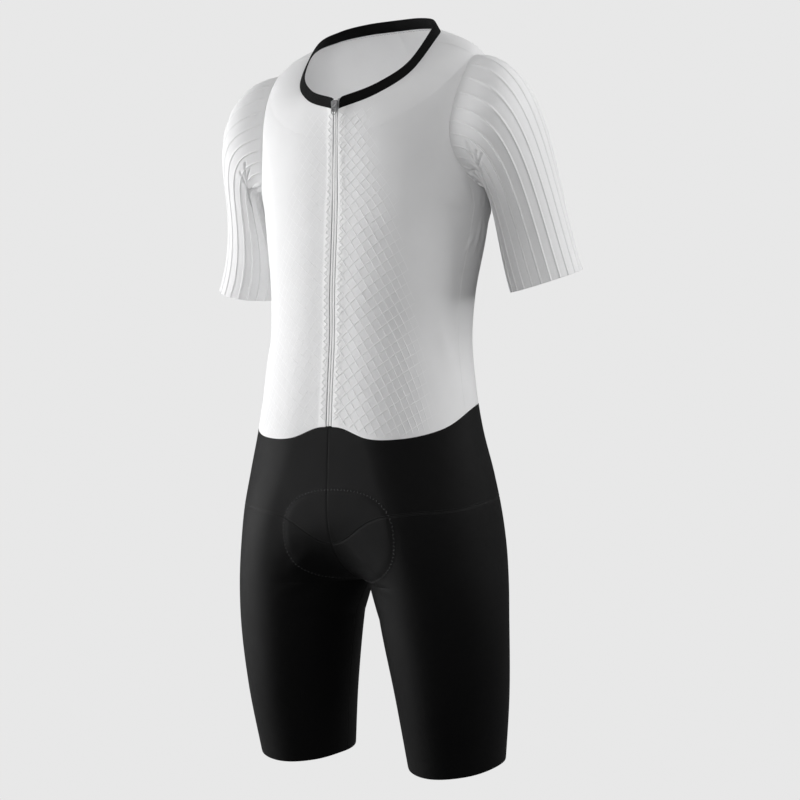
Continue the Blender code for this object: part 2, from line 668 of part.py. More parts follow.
def main():
    for old in list(bpy.data.objects):
        bpy.data.objects.remove(old)
    white = material("white_knit", (0.86, 0.86, 0.86), 0.75)
    ribbed = material("ribbed_knit", (0.86, 0.86, 0.86), 0.75)
    black = material("black_knit", (0.012, 0.012, 0.013), 0.6)
    band = material("black_band", (0.01, 0.01, 0.011), 0.7)
    tape = material("zip_tape", (0.8, 0.8, 0.8), 0.7)
    coil = material("zip_coil", (0.75, 0.75, 0.75), 0.45)
    metal = material("zip_metal", (0.12, 0.12, 0.125), 0.35, 0.9)
    add_upper(white)
    add_sleeves(ribbed)
    add_neck_band(band)
    add_shorts(black)
    add_zip(tape, coil)
    add_slider(metal)
    add_pull(metal)


main()
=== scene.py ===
import math

import bmesh
import bpy
import numpy as np
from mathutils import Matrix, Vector


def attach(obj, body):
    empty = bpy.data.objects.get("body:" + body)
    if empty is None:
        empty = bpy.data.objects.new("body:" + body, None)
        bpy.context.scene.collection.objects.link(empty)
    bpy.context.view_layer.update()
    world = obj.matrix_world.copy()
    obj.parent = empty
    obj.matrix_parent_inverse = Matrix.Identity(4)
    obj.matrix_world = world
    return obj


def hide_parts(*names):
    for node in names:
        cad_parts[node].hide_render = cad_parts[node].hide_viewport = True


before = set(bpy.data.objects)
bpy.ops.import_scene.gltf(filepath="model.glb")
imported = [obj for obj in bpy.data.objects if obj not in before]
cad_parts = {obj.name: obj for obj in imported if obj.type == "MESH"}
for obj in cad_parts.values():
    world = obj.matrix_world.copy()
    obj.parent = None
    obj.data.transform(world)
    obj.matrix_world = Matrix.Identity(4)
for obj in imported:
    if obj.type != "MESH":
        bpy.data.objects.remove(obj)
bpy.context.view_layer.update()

# Camera and studio. The suit is seen from 30 degrees to the wearer's left of the front.
CAMERA_PLACE = (1.133, -1.886, -0.4636)
CAMERA_TURN = 30.0
CAMERA_LENS = 77.9
CAMERA_SENSOR = 36.0
FLOOR_Z = -1.25
STUDIO_RADIUS = 7.0
STUDIO_TOP = 5.0
STUDIO_COVE = 1.6
STUDIO_TURNS = 96
COVE_STEPS = 12
BACKDROP_SEEN = 0.806
STUDIO_GLOW = 0.15
LIGHTS = [
    # name, place, aim, size across, size up, watts
    ("key", (-2.42, -0.84, -0.78), (0.0, 0.0, -0.52), 1.3, 2.0, 112.0),
    ("fill", (0.95, -2.45, 0.05), (0.0, 0.0, -0.40), 1.6, 1.6, 23.0),
    ("rim", (1.50, 0.80, 0.32), (0.15, 0.0, -0.30), 0.7, 1.2, 21.0),
    ("top", (0.70, -0.50, 1.50), (0.05, 0.0, -0.15), 1.2, 1.2, 7.0),
    ("bounce", (0.0, -0.01, -0.27), (0.0, 0.05, 0.03), 0.12, 0.12, 0.17),
]

SIDES = ((1, "left"), (-1, "right"))

# Heights of the main lines
CHEST_Z = -0.225
WAIST_FRONT_Z = -0.496
CROTCH_Z = -0.691
LOWEST_Z = -0.931

# Cloth
WALL = 0.0012
BAND_WALL = 0.0015
HALF_GAP = 0.00016
ARMHOLE_GAP = 0.0004
SEAM_REACH = 0.0020
SEAM_STEPS = (0.4, 1.0)
SHARP_EDGE = 55.0
SEAM_DIP = 0.00022
SEAM_CORD = 0.00060
SEAM_CORD_SUNK = {False: 0.00068, True: 0.00090}

# Cross-sections of the suit from the chest down to the hem, one lobe for each half
SECTION_COLUMNS = ("height", "lobe_x", "half_width", "front", "back")
SECTIONS = [
    (-0.225, 0.030, 0.124, -0.084, 0.114),
    (-0.262, 0.030, 0.118, -0.086, 0.112),
    (-0.330, 0.030, 0.107, -0.090, 0.102),
    (-0.387, 0.030, 0.106, -0.0905, 0.093),
    (-0.440, 0.035, 0.107, -0.0945, 0.091),
    (-0.500, 0.045, 0.106, -0.0985, 0.097),
    (-0.555, 0.060, 0.103, -0.1010, 0.107),
    (-0.600, 0.078, 0.093, -0.1010, 0.110),
    (-0.646, 0.092, 0.085, -0.0960, 0.108),
    (-0.691, 0.100, 0.082, -0.0885, 0.099),
    (-0.735, 0.104, 0.080, -0.0810, 0.092),
    (-0.829, 0.110, 0.070, -0.0630, 0.094),
    (-0.932, 0.110, 0.058, -0.0370, 0.096),
]

# The seam between the upper and the neck band, from centre front to centre back
NECK_COLUMNS = ("share", "x", "y", "z", "run_x", "run_y", "run_z", "neck_reach", "chest_reach")
NECKLINE = [
    (0.00, 0.000, -0.0830, -0.107, 0.00, -0.05, -1.00, 0.035, 0.040),
    (0.20, 0.052, -0.0665, -0.088, 0.50, -0.35, -0.79, 0.045, 0.060),
    (0.36, 0.082, -0.0370, -0.059, 0.85, -0.30, -0.42, 0.060, 0.110),
    (0.50, 0.091, 0.0050, -0.016, 1.00, 0.00, -0.15, 0.073, 0.170),
    (0.68, 0.077, 0.0440, 0.007, 0.85, 0.45, -0.25, 0.080, 0.130),
    (0.84, 0.043, 0.0630, 0.016, 0.45, 0.78, -0.45, 0.070, 0.110),
    (1.00, 0.000, 0.0690, 0.018, 0.00, 0.88, -0.48, 0.065, 0.100),
]
BAND_WIDTH = 0.014
BAND_RISE = 0.60
BAND_END = 0.0052
BAND_CORNER = 0.0055

# The armhole and the side panel
ARMHOLE_SHARE = 0.49
ARMHOLE_HALF_SHARE = 0.135
ARMHOLE_TOP = 0.33
ARMHOLE_BOTTOM = 0.95
ARMHOLE_SKEW = 0.80
FRONT_SEAM_TURN = 122.0
BACK_SEAM_TURN = 222.0
FRONT_SIDE_SHARES = (0.450, 0.46)
BACK_SIDE_SHARES = (0.585, 0.57)

# Heights of the waist seam, the hip seam and the leg's hem at shares of the half girth
SEAM_COLUMNS = ("share", "waist", "hip", "hem")
SEAMS = [
    (0.00, -0.496, -0.640, -0.918),
    (0.035, -0.497, -0.636, -0.919),
    (0.13, -0.510, -0.610, -0.924),
    (0.24, -0.510, -0.600, -0.927),
    (0.36, -0.499, -0.596, -0.923),
    (0.50, -0.474, -0.587, -0.915),
    (0.75, -0.466, -0.583, -0.912),
    (1.00, -0.466, -0.583, -0.918),
]

# Crotch
TURN_UNDER_Z = -0.600
TURN_POWER = 2.5
SADDLE_RADIUS = 0.020
ARCH_DROP = 0.045
LEG_SETTLE_DROP = 0.150
LEG_INNER_SHARE = 0.25
CROTCH_DEPTH = 0.80

# Sleeves
SLEEVE_HEM = (0.219, 0.060, -0.3165)
HEM_FACING = (0.230, 0.205, -0.951)
CUFF_LEAD = (0.332, -0.047, -0.951)
HEM_HALF_WIDTH = 0.045
HEM_HALF_DEPTH = 0.052
CAP_REACH_TOP = 0.122
CAP_REACH_UNDER = 0.028
CUFF_REACH = 0.150
CUFF_REACH_UNDER = 0.45
CAP_SPREAD = 0.05
CAP_LEAN = 0.47
CAP_DROOP = 0.245
RIB_COUNT = 24
RIB_HEIGHT = 0.0010
RIB_CENTRE = 0.80
RIB_HALF_WIDTH = 0.115
RIB_PLACES = (0.0, 0.2, 0.4, 0.6, 0.685, 0.723, 0.762, 0.80, 0.838, 0.877, 0.915)
RIB_STARTS = 22.0
UNDER_RIBS = (5, 10)
UNDER_FINENESS = 3

# Zip
ZIP_EDGE = 0.0042
TAPE_INNER = 0.0010
TAPE_OUTER = 0.0135
TAPE_WALL = 0.0010
ZIP_FOOT_GAP = 0.0006
ZIP_TOP_LEVEL = -0.95
ZIP_BAND_LEVELS = (ZIP_TOP_LEVEL, -0.5, 0.0, 0.5)
COIL_INNER = 0.00045
COIL_OUTER = 0.00300
COIL_SUNK = 0.00015
COIL_WALL = 0.0008
TOOTH_PITCH = 0.0016
TOOTH_LENGTH = 0.0027
TOOTH_WIDTH = 0.0013
TOOTH_SUNK = 0.00105

# Lattice of raised lines on the fronts, and the placket strips beside the zip
LATTICE_PITCH = 0.0118
LATTICE_STEEP = (51.0, 65.0)
LATTICE_RISE = (40.0, 35.0)
LATTICE_TURN_OVER = 0.10
LATTICE_WIDE_TOP = 0.066
LATTICE_WIDE_SLOPE = 0.20
LATTICE_TOP_Z = -0.095
LATTICE_FADE = 0.040
LATTICE_STEP = 0.0012
LATTICE_REACH = 0.150
LATTICE_RUNS = 60
LATTICE_FEWEST = 5
LATTICE_TURN_MOST = 1.3
LATTICE_WAIST_SHARE = 0.1
LATTICE_TOP_LEVEL = 0.06
LATTICE_FOOT_GAP = 0.0025
LATTICE_PAST_WAIST = 0.05
LATTICE_ENDS = (12, 300)
LATTICE_BROKEN = 0.20
LATTICE_BREAK_TURNS = (431.0, 2.3)
LATTICE_STRENGTH = {1: 1.0, -1: 0.45}
LINE_RADIUS = 0.00052
LINE_HEIGHT = 0.00056
LINE_STEP = 0.0030
UPPER_RUN = 0.150
PLACKET_EDGE = 0.0152
PLACKET_LIFT = 0.00025
PLACKET_BLEND = 0.0012
PLACKET_TOP_LEVEL = 0.05
PLACKET_SHARE = 0.02
PLACKET_FOOT_GAP = 0.004
PLACKET_RADIUS = 0.0006
PLACKET_PITCH = 0.0042
PLACKET_SWING = (0.0068, 0.0128)

# Seat pad outline on the shorts, as a rounded oval on the front and one behind
PAD_COLUMNS = ("centre_x", "centre_z", "half_width", "half_height")
PADS = [
    (0.013, -0.6310, 0.079, 0.058),
    (0.000, -0.6300, 0.088, 0.060),
]
PAD_POWER = 2.5
PAD_LIFT = 0.0009
PAD_EDGE = (1.02, 0.22)
PAD_FRONT_Y = 0.005

# Creases, listed one by one. Side 1 is the wearer's left, and the angle is from level, in degrees.
CREASE_TROUGH = 0.9
CREASE_COLUMNS = ("side", "share", "level", "angle", "half_length", "half_width", "height")
CREASES = [
    (1, 0.400, 0.92, 38, 0.030, 0.0060, 0.0016),
    (1, 0.385, 1.00, 16, 0.026, 0.0070, 0.0012),
    (1, 0.500, 1.035, 96, 0.028, 0.0045, 0.0017),
    (1, 0.535, 1.030, 74, 0.022, 0.0042, 0.0015),
    (1, 0.462, 1.045, 118, 0.024, 0.0045, 0.0014),
    (1, 0.620, 1.00, 152, 0.032, 0.0065, 0.0016),
    (-1, 0.405, 0.94, 34, 0.034, 0.0065, 0.0015),
    (-1, 0.500, 1.030, 90, 0.026, 0.0045, 0.0016),
    (-1, 0.540, 1.040, 70, 0.020, 0.0042, 0.0013),
    (-1, 0.462, 1.050, 112, 0.022, 0.0045, 0.0013),
    (-1, 0.615, 0.99, 148, 0.030, 0.0065, 0.0016),
    (1, 0.285, 0.98, 84, 0.110, 0.0200, -0.0022),
    (-1, 0.300, 1.02, 96, 0.090, 0.0190, -0.0018),
    (1, 0.400, 1.17, 78, 0.060, 0.0130, 0.0013),
    (-1, 0.380, 1.19, 102, 0.050, 0.0120, 0.0012),
    (1, 0.820, 1.20, 8, 0.060, 0.0110, 0.0014),
    (-1, 0.860, 1.24, -6, 0.052, 0.0120, 0.0013),
    (1, 0.760, 1.27, 14, 0.040, 0.0090, 0.0010),
    (1, 0.870, 0.86, 30, 0.050, 0.0120, 0.0013),
    (-1, 0.830, 0.88, -28, 0.052, 0.0120, 0.0012),
    (1, 0.110, 1.435, 34, 0.040, 0.0080, 0.0013),
    (1, 0.150, 1.462, 24, 0.044, 0.0090, 0.0012),
    (-1, 0.120, 1.440, 32, 0.038, 0.0080, 0.0012),
    (-1, 0.160, 1.468, 22, 0.040, 0.0090, 0.0011),
    (1, 0.900, 1.445, -30, 0.045, 0.0090, 0.0016),
    (-1, 0.905, 1.450, -34, 0.045, 0.0090, 0.0015),
    (1, 0.860, 1.475, -14, 0.050, 0.0090, 0.0013),
    (-1, 0.850, 1.472, -12, 0.048, 0.0090, 0.0012),
    (1, 0.760, 1.600, 6, 0.036, 0.0070, 0.0010),
    (-1, 0.740, 1.612, -8, 0.034, 0.0070, 0.0010),
]

# Wrinkles of the sleeve under the arm, with turns in degrees and the run as a share of the sleeve
WRINKLE_COLUMNS = ("side", "turn", "run", "half_turn", "height")
WRINKLES = [
    (1, 143, 0.24, 3.0, 0.0022),
    (1, 152, 0.30, 3.2, -0.0024),
    (1, 164, 0.36, 4.0, 0.0026),
    (1, 180, 0.27, 4.0, 0.0022),
    (1, 197, 0.33, 4.5, 0.0024),
    (1, 213, 0.22, 4.0, 0.0018),
    (-1, 135, 0.28, 3.0, 0.0018),
    (-1, 150, 0.34, 3.5, -0.0022),
    (-1, 168, 0.26, 4.5, 0.0024),
    (-1, 188, 0.35, 4.5, 0.0022),
    (-1, 207, 0.24, 4.0, 0.0018),
]

# Troughs gathered at the front of the underarm, each from one turn and run to another
GATHER_COLUMNS = ("side", "turn", "run", "end_turn", "end_run", "half_width", "depth")
GATHERS = [
    (1, 92.0, 0.140, 109.0, 0.195, 0.0014, 0.0027),
    (1, 104.0, 0.110, 116.0, 0.245, 0.0013, 0.0022),
    (1, 94.0, 0.240, 113.0, 0.252, 0.0014, 0.0026),
    (1, 91.0, 0.300, 114.0, 0.262, 0.0013, 0.0022),
    (1, 119.0, 0.110, 117.0, 0.240, 0.0013, 0.0024),
    (1, 136.0, 0.090, 120.0, 0.300, 0.0015, 0.0031),
    (1, 115.0, 0.255, 131.0, 0.385, 0.0023, 0.0048),
    (1, 110.0, 0.300, 124.0, 0.340, 0.0017, 0.0031),
    (-1, 95.0, 0.150, 111.0, 0.205, 0.0014, 0.0026),
    (-1, 107.0, 0.120, 118.0, 0.240, 0.0013, 0.0024),
    (-1, 97.0, 0.250, 115.0, 0.262, 0.0014, 0.0022),
    (-1, 139.0, 0.100, 122.0, 0.295, 0.0016, 0.0029),
    (-1, 118.0, 0.265, 130.0, 0.370, 0.0021, 0.0041),
]
TURN_LENGTH = 0.0010
RUN_LENGTH = 0.165
WRINKLE_START = 0.05

# How finely the shells are made
GIRTH_POINTS = 321
LOBE_POINTS = 240
INNER_POINTS = 80
UPPER_STEPS = 121
RISE_ROWS = 4
SECTION_STEP = 0.001
NORMAL_STEP = 0.004
FRONT_COLUMNS = 64
SIDE_COLUMNS = 22
BACK_COLUMNS = 60
UPPER_ROWS = 20
ARMHOLE_ROWS = 52
CHEST_ROWS = 10
TORSO_ROWS = 76
YOKE_ROWS = 40
CROTCH_ROWS = 14
LEG_TOP_ROWS = 12
LEG_ROWS = 64
BAND_ROWS = 14
ZIP_ROWS = 60
TAPE_COLUMNS = 12
COIL_COLUMNS = 6
TOOTH_LINE_POINTS = (200, 400)
LONG_SEAM_POINTS = 240
SHORT_SEAM_POINTS = 40
INSEAM_POINTS = 80
SHOULDER_POINTS = 30
PLACKET_POINTS = 90
PAD_POINTS = 400
ARMHOLE_POINTS = 181
BEAD_SEGMENTS = 6
BEAD_RINGS = 4
LINE_SIDES = 6
SLEEVE_ROWS = 84
CLOSE_ROWS = 0.55

# Finishes
UNEVEN_SCALE = 26.0
UNEVEN_SHARE = 0.55
LOOP_FLOOR = 0.35
LOOP_SHARE = 0.30
FUZZ_SCALE = 900.0
FUZZ_DETAIL = 2.0
FUZZ_SHARE = 0.5
KNIT_ROUGH_BELOW = 0.06
KNIT_ROUGH_ABOVE = 0.08
KNIT_RELIEF = 0.55
THREAD_GRAIN = 700.0
THREAD_RELIEF = (0.3, 0.0002)
WEAR_SCALE = 420.0
WEAR_DETAIL = 5.0
METAL_ROUGH = (0.24, 0.46)

# Rough lengths of the pieces, by which the rows beside their seams are placed
TORSO_LENGTH = 0.27
ARMHOLE_RISE = 0.05
PANEL_WIDTH = 0.16
SIDE_WIDTH = 0.05
YOKE_DEPTH = 0.11
LEG_TOP_DEPTH = 0.05
LEG_LENGTH = 0.19
SLEEVE_LENGTH = 0.2
BAND_FRONT_LENGTH = 0.12

# Stitches
SEAM_STITCH = (0.0021, 0.00042)
SEAM_SPACING = 0.0026
SEAM_OFFSET = 0.0017
SEAM_END_GAP = 0.002
INSEAM_TOP_GAP = 0.01
HIP_SEAM_SHARES = (0.004, 0.996)
SIDE_SEAM_DROPS = (0.02, 0.98)
WAIST_SEAM_START = 0.012
SHOULDER_SEAM_START = 0.015
NECK_SEAM_START = 0.02
PAD_STITCH = (0.0034, 0.00070)
PAD_SPACING = 0.0047
PAD_SWING = 56.0
COVER_STITCH = (0.0030, 0.0006)
COVER_SPACING = 0.0026
COVER_SWING = 52.0
COVER_START = 0.03
COVER_LEVEL = 0.012
STITCH_LIFT = 0.0001
PAD_CROTCH_GAP = 0.004
PAD_SIDE_SHARE = 0.46


def table_column(rows, columns, name):
    """One named column of a table, as an array."""
    return np.array([row[columns.index(name)] for row in rows])


def rows_on(side, columns, rows):
    """The rows of a table that lie on one side, by the names of their columns."""
    named = [dict(zip(columns, row)) for row in rows]
    return [row for row in named if row["side"] == side]


def line_run(points):
    """Length walked along a line of points, from its start."""
    return np.concatenate([[0], np.cumsum(np.linalg.norm(np.diff(points, axis=0), axis=1))])


def resampled(at, run, values):
    """Values of three columns at lengths along a line."""
    return np.column_stack([np.interp(at, run, values[:, k]) for k in range(3)])


def ridge(off):
    """A soft ridge with a trough either side, across its own half widths."""
    return (1 - CREASE_TROUGH * off**2) * np.exp(-off**2)


def smooth(x, xs, ys):
    """Cubic curve through the points of a table, with slopes from their neighbours."""
    x = np.asarray(x, float)
    if xs[0] > xs[-1]:
        xs, ys = xs[::-1], ys[::-1]
    slopes = np.gradient(ys, xs)
    i = np.clip(np.searchsorted(xs, x) - 1, 0, len(xs) - 2)
    step = xs[i + 1] - xs[i]
    t = np.clip((x - xs[i]) / step, 0, 1)
    return ((2 * t**3 - 3 * t**2 + 1) * ys[i] + (t**3 - 2 * t**2 + t) * step * slopes[i]
            + (3 * t**2 - 2 * t**3) * ys[i + 1] + (t**3 - t**2) * step * slopes[i + 1])


def section_value(z, name):
    """A size of the body's cross-section at a height."""
    return smooth(z, table_column(SECTIONS, SECTION_COLUMNS, "height"),
                  table_column(SECTIONS, SECTION_COLUMNS, name))


def neck_value(share, name):
    """A column of the neckline table at a share of the half girth."""
    return smooth(share, table_column(NECKLINE, NECK_COLUMNS, "share"),
                  table_column(NECKLINE, NECK_COLUMNS, name))


def seam_height(share, name):
    """Height of the waist seam, hip seam or hem at a share of the half girth."""
    return smooth(share, table_column(SEAMS, SEAM_COLUMNS, "share"),
                  table_column(SEAMS, SEAM_COLUMNS, name))


def half_section(z):
    """Half of the body's section at a height, from centre front round to centre back."""
    lobe = float(section_value(z, "lobe_x"))
    half_width = float(section_value(z, "half_width"))
    front = float(section_value(z, "front"))
    back = float(section_value(z, "back"))
    middle = (front + back) / 2
    depth = (back - front) / 2
    turned = min(max((TURN_UNDER_Z - z) / (TURN_UNDER_Z - CROTCH_Z), 0.0), 1.0)
    centre_depth = math.sqrt(max(1.0 - turned**TURN_POWER, 0.0))
    waist_in = math.sqrt(1.0 - centre_depth**2)
    opened = min(max((CROTCH_Z - z) / ARCH_DROP, 0.0), 1.0)
    inner_x = (lobe - half_width) * math.sqrt(opened)

    start = math.hypot(inner_x, SADDLE_RADIUS)
    span = math.hypot(lobe, SADDLE_RADIUS) - start
    r = np.cos(np.linspace(0, math.pi / 2, INNER_POINTS))
    inner_xs = np.sqrt(np.maximum((start + span * (1 - r))**2 - SADDLE_RADIUS**2, 0))
    inner_depth = depth * np.sqrt(np.maximum(1 - (waist_in * r)**2, 0))
    turn = np.linspace(0, math.pi, LOBE_POINTS)[1:-1]
    xs = np.concatenate([inner_xs, lobe + half_width * np.sin(turn), inner_xs[::-1]])
    ys = np.concatenate([middle - inner_depth, middle - depth * np.cos(turn),
                         (middle + inner_depth)[::-1]])
    run = np.concatenate([[0], np.cumsum(np.hypot(np.diff(xs), np.diff(ys)))])
    inner = run[len(inner_xs) - 1]
    outer = run[-1] - 2 * inner
    flat = lobe / (2 * lobe + outer)
    settled = min(max((TURN_UNDER_Z - z) / LEG_SETTLE_DROP, 0.0), 1.0)
    inner_share = flat + (LEG_INNER_SHARE - flat) * settled**2 * (3 - 2 * settled)
    place = np.interp(run, [0, inner, inner + outer, run[-1]], [0, inner_share, 1 - inner_share, 1])
    share = np.linspace(0, 1, GIRTH_POINTS)
    return np.column_stack([np.interp(share, place, xs), np.interp(share, place, ys),
                            np.full(GIRTH_POINTS, z)])


def body_skin():
    """Outer surface of one half of the garment without its sleeve, as rows of points.
    A level of -1 is the neck band's free edge, 0 the neckline and 1 the chest line.
    Below that a level is 1 plus the drop from the chest line."""
    share = np.linspace(0, 1, GIRTH_POINTS)
    heights = np.arange(CHEST_Z, LOWEST_Z - SECTION_STEP, -SECTION_STEP)
    lower = np.array([half_section(z) for z in heights])
    chest = lower[0]
    rise = chest - lower[RISE_ROWS]
    rise /= np.linalg.norm(rise, axis=1)[:, None]
    neck = np.column_stack([neck_value(share, k) for k in ("x", "y", "z")])
    leave = np.column_stack([neck_value(share, k) for k in ("run_x", "run_y", "run_z")])
    leave /= np.linalg.norm(leave, axis=1)[:, None]
    neck_handle = neck + leave * neck_value(share, "neck_reach")[:, None]
    chest_handle = chest + rise * neck_value(share, "chest_reach")[:, None]
    drops = np.linspace(0, 1, UPPER_STEPS)[:-1]
    upper = np.array([(1 - w)**3 * neck + 3 * (1 - w)**2 * w * neck_handle
                      + 3 * (1 - w) * w**2 * chest_handle + w**3 * chest for w in drops])
    band = -leave * (1 - BAND_RISE) + np.array([0, 0, BAND_RISE])
    band /= np.linalg.norm(band, axis=1)[:, None]
    top = (neck + band * BAND_WIDTH)[None]
    levels = np.concatenate([[-1.0], drops, 1 + CHEST_Z - heights])
    return levels, np.concatenate([top, upper, lower])


LEVELS, SKIN = body_skin()


def skin(share, level, side=1):
    """Points of the outer surface at shares of the half girth and levels."""
    share, level = np.broadcast_arrays(np.asarray(share, float), np.asarray(level, float))
    row = np.interp(level, LEVELS, np.arange(len(LEVELS)))
    col = np.clip(share, 0, 1) * (GIRTH_POINTS - 1)
    i = np.minimum(row.astype(int), len(LEVELS) - 2)
    j = np.minimum(col.astype(int), GIRTH_POINTS - 2)
    p = (row - i)[..., None]
    q = (col - j)[..., None]
    point = ((1 - p) * ((1 - q) * SKIN[i, j] + q * SKIN[i, j + 1])
             + p * ((1 - q) * SKIN[i + 1, j] + q * SKIN[i + 1, j + 1]))
    return point * np.array([side, 1, 1])


def level_of(z):
    """Level of a height below the chest line."""
    return 1 + CHEST_Z - z


def skin_beyond(share, level, side):
    """The outer surface, carried on past the centre line, or round the leg below the crotch."""
    share, level = np.broadcast_arrays(np.asarray(share, float), np.asarray(level, float))
    on_leg = level > level_of(CROTCH_Z)
    past = (share < 0) | (share > 1)
    folded = np.where(share < 0, -share, np.where(share > 1, 2 - share, share))
    wrapped = np.where(on_leg, share % 1.0, folded)
    point = skin(np.where(past, wrapped, share), level, side)
    point[..., 0] *= np.where(past & ~on_leg, -1, 1)
    return point


def girth(level):
    """Length of the half girth at a level."""
    row = np.interp(level, LEVELS, np.arange(len(LEVELS)))
    line = SKIN[np.round(row).astype(int)]
    return np.linalg.norm(np.diff(line, axis=-2), axis=-1).sum(axis=-1)


def eased(t):
    """A soft step from 0 to 1."""
    t = np.clip(t, 0, 1)
    return t * t * (3 - 2 * t)


def crease_lift(share, level, side):
    """How far the creases lift the cloth out at a place."""
    lift = np.zeros(np.shape(share))
    around = girth(level)
    for crease in rows_on(side, CREASE_COLUMNS, CREASES):
        across = (share - crease["share"]) * around
        down = level - crease["level"]
        down = np.where(level < 1, down * UPPER_RUN, down)
        angle = math.radians(crease["angle"])
        along = across * math.cos(angle) + down * math.sin(angle)
        off = (down * math.cos(angle) - across * math.sin(angle)) / crease["half_width"]
        reach = eased(1 - np.abs(along) / crease["half_length"])
        lift += crease["height"] * reach * ridge(off)
    return lift


def pad_value(point, front):
    """Below 1 inside the seat pad's outline, above 1 outside it."""
    row = dict(zip(PAD_COLUMNS, PADS[0 if front else 1]))
    return (np.abs((point[..., 0] - row["centre_x"]) / row["half_width"])**PAD_POWER
            + np.abs((point[..., 2] - row["centre_z"]) / row["half_height"])**PAD_POWER)


def pad_lift(point):
    """How far the seat pad inside lifts the shorts."""
    front = point[..., 1] < PAD_FRONT_Y
    value = np.where(front, pad_value(point, True), pad_value(point, False))
    return PAD_LIFT * eased((PAD_EDGE[0] - value) / PAD_EDGE[1])


def skin_wall(share, level, side=1):
    """Points of the outer surface with its creases, and its unit normals there."""
    share, level = np.broadcast_arrays(np.asarray(share, float), np.asarray(level, float))
    across = (skin_beyond(share + NORMAL_STEP, level, side)
              - skin_beyond(share - NORMAL_STEP, level, side))
    down = skin_beyond(share, level + NORMAL_STEP, side) - skin_beyond(share, level - NORMAL_STEP, side)
    normal = np.cross(down, across) * side
    normal /= np.linalg.norm(normal, axis=-1)[..., None]
    point = skin(share, level, side)
    lift = crease_lift(share, level, side) + pad_lift(point)
    return point + normal * lift[..., None], normal


def mirrored(share, level, end):
    """A piece that crosses the centre line: the wearer's left half and then the right,
    joined at the centre, which is the given end of each row."""
    halves = [skin_wall(share, level, side) for side in (1, -1)]
    grids = [half[0] for half in halves]
    normals = [half[1] for half in halves]
    if end == 0:
        grids = [grid[:, ::-1] for grid in grids]
        normals = [normal[:, ::-1] for normal in normals]
    middle = (grids[0][:, -1] + grids[1][:, -1]) / 2
    grids[0][:, -1] = middle
    return (np.concatenate([grids[0], grids[1][:, -2::-1]], axis=1),
            np.concatenate([normals[0], normals[1][:, -2::-1]], axis=1))


def armhole_at(turn):
    """Share and level of the armhole at a turn in degrees: 0 at the shoulder, 90 in
    front, 180 under the arm and 270 behind."""
    angle = np.radians(turn)
    return (ARMHOLE_SHARE - ARMHOLE_HALF_SHARE * np.sin(angle),
            ARMHOLE_TOP + (ARMHOLE_BOTTOM - ARMHOLE_TOP) * ((1 - np.cos(angle)) / 2)**ARMHOLE_SKEW)


def spaced(count, length):
    """Even steps from 0 to 1, with closer ones within a seam's reach of either end."""
    near = np.array(SEAM_STEPS) * SEAM_REACH / length
    return np.concatenate([[0], near, np.linspace(0, 1, count - 4)[1:-1], 1 - near[::-1], [1]])


def side_seam_rows(front):
    """Shares and levels down the seam of the side panel, below the armhole."""
    shares = FRONT_SIDE_SHARES if front else BACK_SIDE_SHARES
    turn = FRONT_SEAM_TURN if front else BACK_SEAM_TURN
    start_share, start_level = armhole_at(turn)
    chest = np.linspace(0, 1, CHEST_ROWS + 1)[1:]
    torso = spaced(TORSO_ROWS + 1, TORSO_LENGTH)[1:]
    share = np.concatenate([start_share + (shares[0] - start_share) * chest,
                            shares[0] + (shares[1] - shares[0]) * torso])
    level = np.concatenate([start_level + (1 - start_level) * chest,
                            1 + (level_of(seam_height(shares[1], "waist")) - 1) * torso])
    return share, level


def torso_level(share, drop):
    """Level at a share of the drop from the chest line to the waist seam."""
    return 1 + (level_of(seam_height(share, "waist")) - 1) * drop


def upper_panel(front, start_gap, columns):
    """Shares and levels of a front, or of half a back, row by row."""
    armhole_turns = np.linspace(0, FRONT_SEAM_TURN, ARMHOLE_ROWS + 1)
    if not front:
        armhole_turns = np.linspace(360, BACK_SEAM_TURN, ARMHOLE_ROWS + 1)
    armhole_share, armhole_level = armhole_at(armhole_turns)
    top_level = spaced(UPPER_ROWS + 1, ARMHOLE_RISE)[:-3] * armhole_level[0]
    seam_share, seam_level = side_seam_rows(front)
    end_share = np.concatenate([np.full(len(top_level), ARMHOLE_SHARE), armhole_share, seam_share])
    end_level = np.concatenate([top_level, armhole_level, seam_level])
    start_share = start_gap / girth(end_level)
    across = spaced(columns, PANEL_WIDTH)
    if not front:
        across = np.concatenate([np.linspace(0, 1, columns - 2)[:-1], across[-3:]])
    if front:
        share = start_share[:, None] + (end_share - start_share)[:, None] * across
    else:
        share = (1 - start_share)[:, None] + (end_share - 1 + start_share)[:, None] * across
    level = np.repeat(end_level[:, None], len(across), axis=1)
    torso = spaced(TORSO_ROWS + 1, TORSO_LENGTH)[1:]
    level[-TORSO_ROWS:] = torso_level(share[-TORSO_ROWS:], torso[:, None])
    return share, level


def side_panel(columns):
    """Shares and levels of a side panel, row by row, from the armhole to the waist."""
    across = spaced(columns, SIDE_WIDTH)
    turns = FRONT_SEAM_TURN + (BACK_SEAM_TURN - FRONT_SEAM_TURN) * across
    top_share, top_level = armhole_at(turns)
    chest_share = FRONT_SIDE_SHARES[0] + (BACK_SIDE_SHARES[0] - FRONT_SIDE_SHARES[0]) * across
    waist_share = FRONT_SIDE_SHARES[1] + (BACK_SIDE_SHARES[1] - FRONT_SIDE_SHARES[1]) * across
    chest = np.linspace(0, 1, CHEST_ROWS + 1)[:, None]
    torso = spaced(TORSO_ROWS + 1, TORSO_LENGTH)[1:, None]
    share = np.concatenate([top_share + (chest_share - top_share) * chest,
                            chest_share + (waist_share - chest_share) * torso])
    level = np.concatenate([top_level + (1 - top_level) * chest,
                            torso_level(share[-TORSO_ROWS:], torso)])
    return share, level


